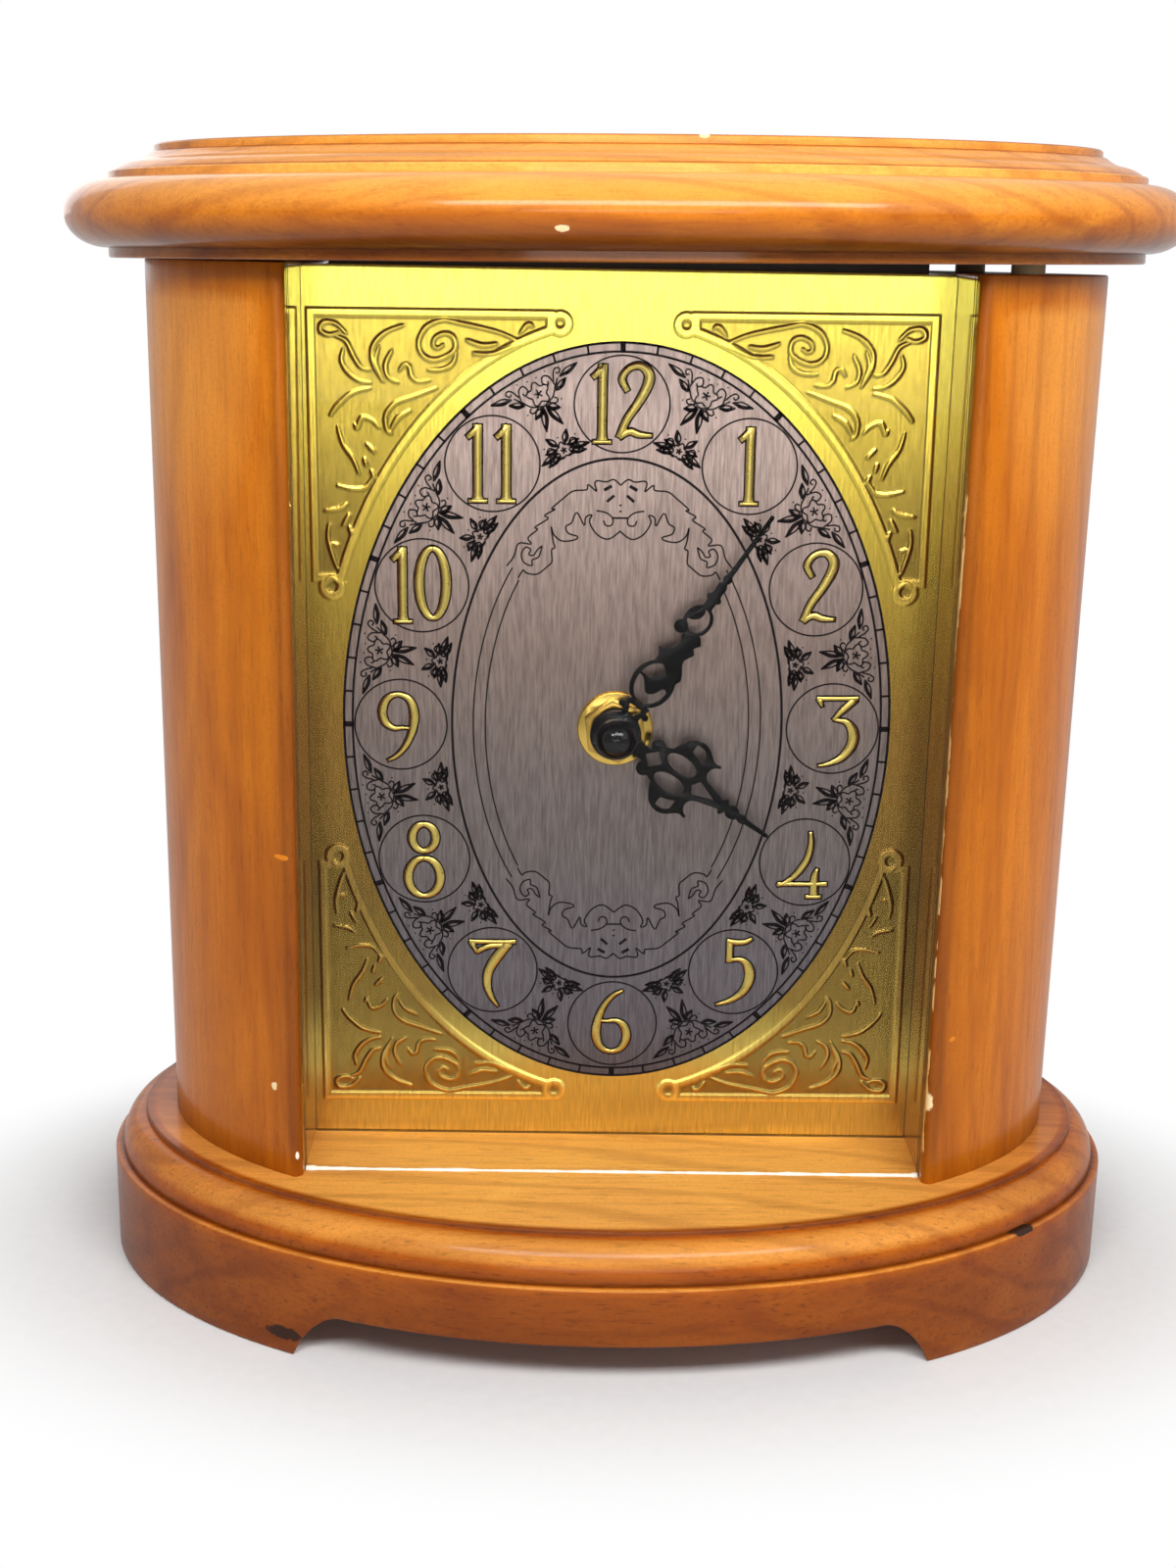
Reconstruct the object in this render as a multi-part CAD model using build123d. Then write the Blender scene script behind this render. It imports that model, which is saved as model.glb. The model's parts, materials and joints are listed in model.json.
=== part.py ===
from build123d import *
import math
import os

# Oval mantel clock: moulded base and top, two columns, flat glass, brass dial and a quartz movement.
# Millimetres, +Z up, front towards -Y. The origin is under the middle of the oval base, on the floor.

# Oval base
BASE_HALF_WIDTH = 117.5
BASE_HALF_DEPTH = 77.5
BASE_HEIGHT = 33.5
LEDGE_DROP = 9.2
LEDGE_WIDTH = 1.8
OVOLO_WIDTH = 5.5
RIM_STEP = 1.4
ARCH_HEIGHT = 11.0
ARCH_HALF_WIDTH = 68.0
BRACKET_RUN = 10.5
BRACKET_KNEE_HEIGHT = 6.0
BRACKET_FLARE = 0.35

# Columns
COLUMN_INSET = 7.3
COLUMN_HEIGHT = 192.8
OPENING_HALF_WIDTH = 67.5
COLUMN_EDGE_RADIUS = 1.6

# Top board, which has risen a little off its right-hand dowels
TOP_LOW_FILLET = 2.0
BULLNOSE_HEIGHT = 13.8
BULLNOSE_REACH = 8.8
MID_FILLET_HEIGHT = 1.6
MID_FILLET_INSET = 0.6
OGEE_HEIGHT = 3.8
OGEE_WIDTH = 8.0
OGEE_SWING = 0.55
FILLET_LEDGE = 0.8
CAP_FILLET_HEIGHT = 1.6
TOP_TILT_DEG = 0.63
TOP_LIFT = 0.4

# Dowels
DOWEL_RADIUS = 3.4
DOWEL_DEPTH = 15.0
DOWEL_X = 80.0
DOWEL_Y = 30.0
GLUE_GAP = 0.05
LOOSE_GAP = 0.3
HOLE_EXTRA_DEPTH = 0.5

# Glass, dial and back
SHEET_PLAY = 0.15
GLASS_THICKNESS = 2.0
GLASS_Y = -42.2
GROOVE_DEPTH = 3.0
FOOT_GROOVE_DEPTH = 2.0
SHEET_TOP_PLAY = 0.4
DIAL_Y = -19.5
DIAL_THICKNESS = 0.6
CHAPTER_HALF_WIDTH = 59.5
CHAPTER_HALF_HEIGHT = 81.8
CHAPTER_RELIEF = 0.15
DIAL_BOARD_THICKNESS = 3.0
DIAL_BOARD_HALF_WIDTH = 62.0
DIAL_BOARD_RISE = 2.2
TOP_GROOVE_DEPTH = 4.0
BACK_Y = 36.0
BACK_THICKNESS = 3.0
HAND_HOLE_WIDTH = 84.0
HAND_HOLE_HEIGHT = 104.0
HAND_HOLE_RADIUS = 8.0

# Arbor, hands and the clamping parts in front of the dial
ARBOR_X = -1.0
ARBOR_RISE = 95.7
BUSH_RADIUS = 4.0
BUSH_PLAY = 0.3
RUN_GAP = 0.05
GASKET_RADIUS = 10.0
GASKET_THICKNESS = 1.0
WASHER_RADIUS = 8.0
WASHER_THICKNESS = 1.0
NUT_ACROSS_FLATS = 12.5
NUT_THICKNESS = 2.6
NUT_TURN_DEG = 37.0
BUSH_PROUD = 0.7
HOUR_TUBE_RADIUS = 2.5
MINUTE_ARBOR_RADIUS = 1.6
HAND_THICKNESS = 0.5
HAND_GAP = 0.6
MINUTE_HAND_LENGTH = 57.2
HOUR_HAND_LENGTH = 40.7
MINUTE_HAND_ANGLE = 34.0
HOUR_HAND_ANGLE = 124.0
HAND_HUB_RADIUS = 4.6
HAND_TIP_WIDTH = 0.9
CAP_RIM_RADIUS = 5.55
CAP_RIM_HEIGHT = 1.8
CAP_RIM_TAPER = 0.4
CAP_NECK_HEIGHT = 2.2
CAP_DOME_RADIUS = 4.4
CAP_WALL = 1.5

# Movement case
CASE_SIZE = 56.0
CASE_DEPTH = 18.0
CASE_WALL = 1.5
COVER_THICKNESS = 1.5
BAY_TOP = -10.3
BAY_WALL = 1.2
BAY_PLAY = 0.8
BATTERY_RADIUS = 7.25
BATTERY_LENGTH = 50.5
BATTERY_CAP_RADIUS = 2.75
BATTERY_CAP_LENGTH = 1.5
CONTACT_THICKNESS = 0.5
CONTACT_WIDTH = 9.0
CONTACT_BOW = 0.9

# Wheel train: module of each meshing pair and tooth counts
ADDENDUM = 0.8
DEDENDUM = 1.15
PRESSURE_ANGLE = 25.0
TOOTH_SHARE = 0.42
LEAVES = 8
ROTOR_MODULE = 0.25
INTERMEDIATE_TEETH = 48
SECONDS_MODULE = 0.30
SECONDS_TEETH = 40
THIRD_MODULE = 0.25
THIRD_TEETH = 60
CENTRE_TEETH = 64
CANNON_MODULE = 0.44
CANNON_TEETH = 12
MINUTE_WHEEL_TEETH = 36
SETTING_LEAVES = 10
HOUR_TEETH = 40
WHEEL_THICKNESS = 0.9
LAYER_PITCH = 1.7
FIRST_LAYER_GAP = 0.3
THIRD_DIRECTION = 180.0
INTERMEDIATE_DIRECTION = 90.0
ROTOR_DIRECTION = 60.0
SETTING_DIRECTION = 0.0
POST_RADIUS = 0.6
POST_SHOULDER = 1.3
SETTING_SHAFT_RADIUS = 1.2
KNOB_RADIUS = 7.0
KNOB_HEIGHT = 3.0
KNOB_FLUTES = 18
KNOB_FLUTE_RADIUS = 0.7

# Stepping motor and circuit
MAGNET_RADIUS = 2.6
MAGNET_HEIGHT = 2.0
STATOR_GAP = 0.5
STATOR_THICKNESS = 1.0
STATOR_HALF_WIDTH = 9.0
STATOR_LEG_WIDTH = 4.0
STATOR_MARGIN = 1.2
COIL_RADIUS = 3.2
COIL_RISE = 8.0
CORE_WIDTH = 3.0
BOBBIN_CHEEK = 0.6
BOBBIN_LIP = 0.4
BOARD_WIDTH = 17.0
BOARD_HEIGHT = 15.0
BOARD_THICKNESS = 1.0
BOARD_PLAY = 0.5
CHIP_RADIUS = 3.0
CHIP_HEIGHT = 1.0
CRYSTAL_RADIUS = 1.0
CRYSTAL_LENGTH = 6.0
BOSS_RADIUS = 1.4

# How far a cutter runs past the face that it opens
OVERCUT = 1.0

# Places worked out from the sizes above
RIM_HALF_WIDTH = BASE_HALF_WIDTH - LEDGE_WIDTH - OVOLO_WIDTH
RIM_HALF_DEPTH = BASE_HALF_DEPTH - LEDGE_WIDTH - OVOLO_WIDTH
COLUMN_TOP = BASE_HEIGHT + COLUMN_HEIGHT
ARBOR_Z = BASE_HEIGHT + ARBOR_RISE
DIAL_BACK_Y = DIAL_Y + DIAL_THICKNESS
BOARD_BACK_Y = DIAL_BACK_Y + DIAL_BOARD_THICKNESS
CASE_Y = BOARD_BACK_Y + GASKET_THICKNESS
COVER_Y = CASE_Y + CASE_DEPTH - COVER_THICKNESS
CASE_BACK_Y = CASE_Y + CASE_DEPTH
WASHER_Y = DIAL_Y - WASHER_THICKNESS
NUT_Y = WASHER_Y - NUT_THICKNESS
BUSH_Y = NUT_Y - BUSH_PROUD
HOUR_HAND_Y = BUSH_Y - HAND_GAP - HAND_THICKNESS
HOUR_TUBE_Y = HOUR_HAND_Y - HAND_GAP
MINUTE_HAND_Y = HOUR_TUBE_Y - HAND_GAP - HAND_THICKNESS
CAP_Y = MINUTE_HAND_Y - CAP_RIM_HEIGHT - CAP_NECK_HEIGHT - CAP_DOME_RADIUS
MINUTE_ARBOR_Y = CAP_Y + CAP_WALL
SHEET_HALF_WIDTH = OPENING_HALF_WIDTH + GROOVE_DEPTH - SHEET_PLAY
SHEET_TOP = COLUMN_TOP - SHEET_TOP_PLAY

# Wheel centres around the arbor, and the depth of each layer of the train
THIRD_DISTANCE = THIRD_MODULE * (LEAVES + THIRD_TEETH) / 2
CENTRE_MODULE = 2 * THIRD_DISTANCE / (LEAVES + CENTRE_TEETH)
SECONDS_DISTANCE = SECONDS_MODULE * (LEAVES + SECONDS_TEETH) / 2
ROTOR_DISTANCE = ROTOR_MODULE * (LEAVES + INTERMEDIATE_TEETH) / 2
SETTING_DISTANCE = CANNON_MODULE * (CANNON_TEETH + MINUTE_WHEEL_TEETH) / 2
HOUR_MODULE = 2 * SETTING_DISTANCE / (SETTING_LEAVES + HOUR_TEETH)
HOUR_LAYER_Y = CASE_Y + CASE_WALL + FIRST_LAYER_GAP
MINUTE_LAYER_Y = HOUR_LAYER_Y + LAYER_PITCH
CENTRE_LAYER_Y = MINUTE_LAYER_Y + LAYER_PITCH
THIRD_LAYER_Y = CENTRE_LAYER_Y + LAYER_PITCH
SECONDS_LAYER_Y = THIRD_LAYER_Y + LAYER_PITCH
INTERMEDIATE_LAYER_Y = SECONDS_LAYER_Y + LAYER_PITCH
MAGNET_Y = INTERMEDIATE_LAYER_Y + LAYER_PITCH
STATOR_Y = MAGNET_Y + (MAGNET_HEIGHT - STATOR_THICKNESS) / 2


def polar(distance, direction, start=(0.0, 0.0)):
    """Point at a distance and a direction in degrees, anticlockwise from the right, seen from the front."""
    angle = math.radians(direction)
    return (start[0] + distance * math.cos(angle), start[1] + distance * math.sin(angle))


CENTRE = (0.0, 0.0)
THIRD_CENTRE = polar(THIRD_DISTANCE, THIRD_DIRECTION)
INTERMEDIATE_CENTRE = polar(SECONDS_DISTANCE, INTERMEDIATE_DIRECTION)
ROTOR_CENTRE = polar(ROTOR_DISTANCE, ROTOR_DIRECTION, INTERMEDIATE_CENTRE)
SETTING_CENTRE = polar(SETTING_DISTANCE, SETTING_DIRECTION)


def layer(face, y_front, y_back):
    """Extrude a face drawn as seen from the front, around the arbor, between two depths."""
    plane = Plane(origin=(ARBOR_X, y_back, ARBOR_Z), x_dir=(1, 0, 0), z_dir=(0, -1, 0))
    return plane * extrude(face, y_back - y_front)


def disc(radius, centre=CENTRE, hole=0.0):
    face = Pos(*centre) * Circle(radius)
    if hole > 0:
        face -= Pos(*centre) * Circle(hole)
    return face


def block(x_low, x_high, y_low, y_high, z_low, z_high):
    size = (x_high - x_low, y_high - y_low, z_high - z_low)
    middle = ((x_low + x_high) / 2, (y_low + y_high) / 2, (z_low + z_high) / 2)
    return Pos(*middle) * Box(*size)


def upright(radius, x, y, z_low, z_high):
    return Pos(x, y, (z_low + z_high) / 2) * Cylinder(radius, z_high - z_low)


# Oval mouldings

def oval_prism(inset, z_low, z_high):
    """Upright oval slab, set in from the base's rim oval by an inset."""
    oval = Ellipse(RIM_HALF_WIDTH - inset, RIM_HALF_DEPTH - inset)
    return Pos(0, 0, z_low) * extrude(oval, z_high - z_low)


def oval_loft(profile):
    """Smooth oval moulding through (inset, height) pairs, from the bottom up."""
    sections = []
    for inset, height in profile:
        sections.append(Pos(0, 0, height) * Ellipse(RIM_HALF_WIDTH - inset, RIM_HALF_DEPTH - inset))
    return loft(sections)


def quarter_steps(count):
    return [math.radians(90 * i / count) for i in range(count + 1)]


def dowel_places():
    return [(side_x * DOWEL_X, side_y * DOWEL_Y) for side_x in (-1, 1) for side_y in (-1, 1)]


def make_base():
    ledge_z = BASE_HEIGHT - LEDGE_DROP
    step_z = BASE_HEIGHT - RIM_STEP
    ovolo_drop = LEDGE_DROP - RIM_STEP
    ovolo = []
    for angle in quarter_steps(6):
        inset = -OVOLO_WIDTH * math.cos(angle)
        ovolo.append((inset, ledge_z + ovolo_drop * math.sin(angle)))
    base = oval_prism(-LEDGE_WIDTH - OVOLO_WIDTH, 0, ledge_z)
    base += oval_loft(ovolo)
    base += oval_prism(0, step_z - RIM_STEP, BASE_HEIGHT)

    # Bracket feet: an arch through from front to back with an ogee at each shoulder
    inner = ARCH_HALF_WIDTH - BRACKET_RUN
    knee = ARCH_HALF_WIDTH - BRACKET_RUN / 2
    foot = ARCH_HALF_WIDTH
    left = Spline(
        [(-foot, 0), (-knee, BRACKET_KNEE_HEIGHT), (-inner, ARCH_HEIGHT)],
        tangents=[(BRACKET_FLARE, 1), (1, 0)],
    )
    right = Spline(
        [(inner, ARCH_HEIGHT), (knee, BRACKET_KNEE_HEIGHT), (foot, 0)],
        tangents=[(1, 0), (BRACKET_FLARE, -1)],
    )
    outline = [
        left,
        Line((-inner, ARCH_HEIGHT), (inner, ARCH_HEIGHT)),
        right,
        Polyline((foot, 0), (foot, -OVERCUT), (-foot, -OVERCUT), (-foot, 0)),
    ]
    arch_plane = Plane(origin=(0, BASE_HALF_DEPTH + OVERCUT, 0), x_dir=(1, 0, 0), z_dir=(0, -1, 0))
    base -= arch_plane * extrude(make_face(outline), 2 * (BASE_HALF_DEPTH + OVERCUT))

    for x, y in dowel_places():
        bottom = BASE_HEIGHT - DOWEL_DEPTH - HOLE_EXTRA_DEPTH
        base -= upright(DOWEL_RADIUS + GLUE_GAP, x, y, bottom, BASE_HEIGHT + OVERCUT)
    for y_low, y_high, half_width in sheet_grooves():
        floor = BASE_HEIGHT - FOOT_GROOVE_DEPTH
        base -= block(-half_width, half_width, y_low, y_high, floor, BASE_HEIGHT + OVERCUT)
    return base


def sheet_grooves():
    """Front and back faces and half-width of each groove in the base that holds an upright sheet."""
    groove_half = SHEET_HALF_WIDTH - GROOVE_DEPTH + SHEET_PLAY
    return [
        (GLASS_Y - SHEET_PLAY, GLASS_Y + GLASS_THICKNESS + SHEET_PLAY, groove_half),
        (DIAL_BACK_Y - SHEET_PLAY, BOARD_BACK_Y + SHEET_PLAY, DIAL_BOARD_HALF_WIDTH + SHEET_PLAY),
        (BACK_Y - SHEET_PLAY, BACK_Y + BACK_THICKNESS + SHEET_PLAY, groove_half),
    ]


def make_column(side):
    wall = side * OPENING_HALF_WIDTH
    reach = RIM_HALF_WIDTH - OPENING_HALF_WIDTH
    section = Ellipse(RIM_HALF_WIDTH - COLUMN_INSET, RIM_HALF_DEPTH - COLUMN_INSET)
    section &= Pos(wall + side * reach / 2, 0) * Rectangle(reach, 2 * RIM_HALF_DEPTH)
    corners = [corner for corner in section.vertices() if abs(corner.X - wall) < COLUMN_EDGE_RADIUS / 10]
    section = fillet(corners, COLUMN_EDGE_RADIUS)
    column = Pos(0, 0, BASE_HEIGHT) * extrude(section, COLUMN_HEIGHT)
    grooves = [
        (GLASS_Y, GLASS_Y + GLASS_THICKNESS),
        (DIAL_Y, DIAL_BACK_Y),
        (BACK_Y, BACK_Y + BACK_THICKNESS),
    ]
    for y_low, y_high in grooves:
        low_x, high_x = sorted((wall - side * OVERCUT, wall + side * GROOVE_DEPTH))
        column -= block(low_x, high_x, y_low - SHEET_PLAY, y_high + SHEET_PLAY, BASE_HEIGHT, COLUMN_TOP)
    for x, y in dowel_places():
        if x * side > 0:
            low_end = BASE_HEIGHT + DOWEL_DEPTH + HOLE_EXTRA_DEPTH
            high_end = COLUMN_TOP - DOWEL_DEPTH - HOLE_EXTRA_DEPTH
            column -= upright(DOWEL_RADIUS + GLUE_GAP, x, y, BASE_HEIGHT - OVERCUT, low_end)
            column -= upright(DOWEL_RADIUS + GLUE_GAP, x, y, high_end, COLUMN_TOP + OVERCUT)
    return column


def top_place():
    """Where the top's underside sits: seated at the left column, raised at the right one."""
    pivot = Pos(-OPENING_HALF_WIDTH, 0, COLUMN_TOP + TOP_LIFT)
    return pivot * Rot(0, -TOP_TILT_DEG, 0) * Pos(OPENING_HALF_WIDTH, 0, 0)


def make_top_board():
    bullnose_z = TOP_LOW_FILLET + BULLNOSE_HEIGHT / 2
    mid_z = TOP_LOW_FILLET + BULLNOSE_HEIGHT
    ogee_z = mid_z + MID_FILLET_HEIGHT
    cap_z = ogee_z + OGEE_HEIGHT
    top_z = cap_z + CAP_FILLET_HEIGHT
    half_height = BULLNOSE_HEIGHT / 2
    bullnose = []
    for angle in [math.radians(-90 + 15 * i) for i in range(13)]:
        neck = MID_FILLET_INSET if angle > 0 else 0.0
        inset = neck - (BULLNOSE_REACH + neck) * math.cos(angle)
        bullnose.append((inset, bullnose_z + half_height * math.sin(angle)))
    ogee_low = MID_FILLET_INSET + FILLET_LEDGE
    ogee = []
    for i in range(9):
        share = i / 8
        bend = math.sin(2 * math.pi * share) / (2 * math.pi)
        ogee.append((ogee_low + OGEE_WIDTH * share, ogee_z + OGEE_HEIGHT * (share + OGEE_SWING * bend)))
    top = oval_prism(0, 0, TOP_LOW_FILLET)
    top += oval_loft(bullnose)
    top += oval_prism(MID_FILLET_INSET, mid_z, ogee_z)
    top += oval_loft(ogee)
    top += oval_prism(ogee_low + OGEE_WIDTH + FILLET_LEDGE, cap_z, top_z)

    # Blind holes that slip over the dowels, and a groove over the dial board
    for x, y in dowel_places():
        top -= upright(DOWEL_RADIUS + LOOSE_GAP, x, y, -OVERCUT, DOWEL_DEPTH + HOLE_EXTRA_DEPTH)
    half_groove = DIAL_BOARD_HALF_WIDTH + LOOSE_GAP
    groove_front = DIAL_BACK_Y - LOOSE_GAP
    groove_back = BOARD_BACK_Y + LOOSE_GAP
    top -= block(-half_groove, half_groove, groove_front, groove_back, -OVERCUT, TOP_GROOVE_DEPTH)
    return top_place() * top


def make_dowels(z_middle):
    dowels = []
    for x, y in dowel_places():
        dowels.append(upright(DOWEL_RADIUS, x, y, z_middle - DOWEL_DEPTH, z_middle + DOWEL_DEPTH))
    return Compound(children=dowels)


# Glass, dial and back panel

def make_glass():
    foot = BASE_HEIGHT - FOOT_GROOVE_DEPTH
    # The column grooves stop at the base's top, so the foot is as wide as the opening
    pane = block(
        -SHEET_HALF_WIDTH, SHEET_HALF_WIDTH, GLASS_Y, GLASS_Y + GLASS_THICKNESS, BASE_HEIGHT, SHEET_TOP
    )
    half_foot = OPENING_HALF_WIDTH - SHEET_PLAY
    pane += block(-half_foot, half_foot, GLASS_Y, GLASS_Y + GLASS_THICKNESS, foot, BASE_HEIGHT)
    return pane


def make_dial_plate():
    plate = block(-SHEET_HALF_WIDTH, SHEET_HALF_WIDTH, DIAL_Y, DIAL_BACK_Y, BASE_HEIGHT, SHEET_TOP)
    oval_plane = Plane(origin=(0, DIAL_Y, ARBOR_Z), x_dir=(1, 0, 0), z_dir=(0, -1, 0))
    plate += oval_plane * extrude(Ellipse(CHAPTER_HALF_WIDTH, CHAPTER_HALF_HEIGHT), CHAPTER_RELIEF)
    hole = layer(disc(BUSH_RADIUS + BUSH_PLAY), DIAL_Y - OVERCUT, DIAL_BACK_Y + OVERCUT)
    # The washer seats on the bare sheet, inside the raised oval
    seat = layer(disc(WASHER_RADIUS + BUSH_PLAY), DIAL_Y - OVERCUT, DIAL_Y)
    return plate - hole - seat


def make_dial_board():
    board = block(
        -DIAL_BOARD_HALF_WIDTH,
        DIAL_BOARD_HALF_WIDTH,
        DIAL_BACK_Y,
        BOARD_BACK_Y,
        BASE_HEIGHT - FOOT_GROOVE_DEPTH,
        COLUMN_TOP + DIAL_BOARD_RISE,
    )
    hole = disc(BUSH_RADIUS + BUSH_PLAY)
    return board - layer(hole, DIAL_BACK_Y - OVERCUT, BOARD_BACK_Y + OVERCUT)


def make_back_panel():
    panel = block(
        -SHEET_HALF_WIDTH, SHEET_HALF_WIDTH, BACK_Y, BACK_Y + BACK_THICKNESS, BASE_HEIGHT, SHEET_TOP
    )
    half_foot = OPENING_HALF_WIDTH - SHEET_PLAY
    panel += block(
        -half_foot, half_foot, BACK_Y, BACK_Y + BACK_THICKNESS, BASE_HEIGHT - FOOT_GROOVE_DEPTH, BASE_HEIGHT
    )
    hole = RectangleRounded(HAND_HOLE_WIDTH, HAND_HOLE_HEIGHT, HAND_HOLE_RADIUS)
    return panel - layer(hole, BACK_Y - OVERCUT, BACK_Y + BACK_THICKNESS + OVERCUT)


# Clamping parts and hands

def make_hex_nut():
    hexagon = Rot(0, 0, NUT_TURN_DEG) * RegularPolygon(NUT_ACROSS_FLATS / 2, 6, major_radius=False)
    return layer(hexagon - Circle(BUSH_RADIUS + RUN_GAP), NUT_Y, WASHER_Y)


def bead(half_width, half_height, y):
    """Rounded swelling on the hand's centre line."""
    return Pos(0, y) * Ellipse(half_width, half_height)


def polygon(*points):
    return make_face(Polyline(*points, close=True))


def curved(points, *corners):
    """Face inside a smooth curve through points, closed by straight lines through any corners."""
    return make_face([Spline(points), Polyline(points[-1], *corners, points[0])])


def spike(half_width, low, length):
    """Slim pointer with a rounded end."""
    tip = HAND_TIP_WIDTH / 2
    end = length - tip
    return polygon((-half_width, low), (half_width, low), (tip, end), (-tip, end)) + bead(tip, tip, end)


def make_minute_hand():
    """Serpentine hand: a round loop with a crescent, a serrated leaf, a second loop and a long spike."""
    # Hub, the pierced triangle above it and its side knobs
    hand = Circle(HAND_HUB_RADIUS)
    hand += polygon((-1.7, 3.0), (1.7, 3.0), (2.9, 8.6), (-2.9, 8.6))
    hand += Pos(-3.0, 6.6) * Circle(0.75) + Pos(3.0, 6.6) * Circle(0.75)
    hand += polygon((-3.4, 6.1), (3.4, 6.1), (3.0, 7.1), (-3.0, 7.1))
    hand -= polygon((-1.5, 7.5), (1.5, 7.5), (0, 4.4))

    # Round loop with the crescent that hangs in it
    hand += bead(4.65, 5.5, 13.6) - bead(3.6, 4.8, 13.7)
    crescent = [(-3.7, 14.0), (-1.7, 13.0), (0.0, 11.3), (1.6, 12.2), (2.7, 14.0), (3.6, 13.6)]
    hand += curved(crescent, (4.1, 15.5), (2.2, 17.6), (0.6, 16.4), (-0.8, 15.5), (-1.1, 14.5), (-3.7, 14.5))

    # Leaf that swings across, smooth on the left and serrated on the right
    leaf_left = [(-3.7, 21.2), (-1.6, 22.0), (-0.7, 23.4), (-0.5, 24.8), (-1.0, 25.7)]
    barbs = [(2.6, 27.6), (3.7, 26.1), (2.8, 24.8), (3.7, 23.7), (2.6, 21.6), (2.8, 20.5), (4.1, 18.7)]
    leaf_foot = [(4.6, 17.5), (3.9, 15.9), (2.4, 15.6), (0.6, 17.6), (-0.6, 18.6), (-2.7, 18.0), (-2.6, 19.6)]
    hand += curved(leaf_left, (-1.0, 27.6), *barbs, *leaf_foot)

    # Second loop with a scroll on its left
    hand += Pos(-2.3, 27.3) * Circle(1.5)
    hand += bead(3.1, 3.6, 30.2) - bead(2.3, 2.8, 30.3)
    scroll = [(-2.7, 29.6), (-1.0, 29.9), (0.1, 31.0), (0.3, 32.4), (-0.7, 33.4)]
    hand += curved(scroll, (-2.0, 32.9))

    # Turned beads and the spike
    hand += polygon((-1.1, 33.2), (1.1, 33.2), (1.0, 39.0), (-1.0, 39.0))
    hand += bead(1.7, 1.0, 36.0)
    hand += bead(1.1, 1.5, 38.6)
    hand += bead(1.0, 1.1, 40.9)
    hand += spike(0.6, 38.0, MINUTE_HAND_LENGTH)
    hand -= Circle(MINUTE_ARBOR_RADIUS + RUN_GAP)
    return layer(Rot(0, 0, -MINUTE_HAND_ANGLE) * hand, MINUTE_HAND_Y, MINUTE_HAND_Y + HAND_THICKNESS)


def make_hour_hand():
    """Pierced hand: a diamond, two long ovals, two hooked scrolls, a triangle and a spike."""
    hand = Circle(HAND_HUB_RADIUS)
    hand += polygon((-1.6, 3.0), (1.6, 3.0), (1.6, 9.0), (-1.6, 9.0))
    hand += polygon((0, 6.6), (3.5, 10.1), (4.2, 12.1), (-4.2, 12.1), (-3.5, 10.1))
    for side in (-1, 1):
        hand += Pos(side * 2.9, 9.4) * Circle(1.6)
        hand += Pos(side * 2.4, 15.9) * Rot(0, 0, side * 3) * (Ellipse(2.8, 4.7) - Ellipse(1.85, 3.75))
        hook = [(4.4, 12.4), (6.8, 13.5), (8.7, 15.4), (9.1, 17.6), (8.2, 19.7), (7.2, 20.9), (7.1, 23.1)]
        scroll = curved(hook, (6.3, 23.3), (2.4, 23.3), (2.6, 20.4), (3.6, 20.0), (4.7, 17.3))
        scroll -= Pos(4.4, 23.5) * Circle(2.0)
        scroll -= polygon((6.1, 16.1), (8.0, 16.1), (8.0, 18.0), (7.1, 19.3), (4.9, 19.4), (5.5, 18.0))
        hand += scroll if side > 0 else mirror(scroll, Plane.YZ)
    hand += polygon((-1.2, 11.8), (1.2, 11.8), (0.6, 13.2), (0.6, 21.0), (-0.6, 21.0), (-0.6, 13.2))
    hand += polygon((-3.0, 19.6), (3.0, 19.6), (2.7, 22.0), (1.1, 28.0), (-1.1, 28.0), (-2.7, 22.0))
    hand -= polygon((0, 26.2), (1.7, 21.4), (0, 20.2), (-1.7, 21.4))
    hand -= polygon((0, 8.0), (2.1, 10.1), (0, 12.2), (-2.1, 10.1))
    hand += bead(1.9, 0.85, 28.7)
    hand += bead(1.5, 1.8, 31.0)
    hand += bead(1.0, 1.4, 33.7)
    hand += spike(0.8, 28.0, HOUR_HAND_LENGTH)
    hand -= Circle(HOUR_TUBE_RADIUS + RUN_GAP)
    return layer(Rot(0, 0, -HOUR_HAND_ANGLE) * hand, HOUR_HAND_Y, HOUR_HAND_Y + HAND_THICKNESS)


def make_hand_nut():
    """Closed cap nut on the minute arbor's tip: a tapered rim, a short neck and a round dome."""
    neck_top = CAP_RIM_HEIGHT + CAP_NECK_HEIGHT
    top = neck_top + CAP_DOME_RADIUS
    slant = CAP_DOME_RADIUS * math.sqrt(0.5)
    rim = [(CAP_RIM_RADIUS, 0), (CAP_RIM_RADIUS - CAP_RIM_TAPER, CAP_RIM_HEIGHT)]
    neck = [(CAP_DOME_RADIUS, CAP_RIM_HEIGHT), (CAP_DOME_RADIUS, neck_top)]
    half = [
        Polyline((0, top), (0, 0), *rim, *neck),
        ThreePointArc(neck[-1], (slant, neck_top + slant), (0, top)),
    ]
    dome = revolve(Plane.XZ * make_face(half), Axis.Z)
    place = Plane(origin=(ARBOR_X, MINUTE_HAND_Y, ARBOR_Z), x_dir=(1, 0, 0), z_dir=(0, -1, 0))
    socket = disc(MINUTE_ARBOR_RADIUS + RUN_GAP)
    return place * dome - layer(socket, MINUTE_ARBOR_Y, MINUTE_HAND_Y + OVERCUT)


# Wheels

def involute(angle):
    return math.tan(angle) - angle


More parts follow.
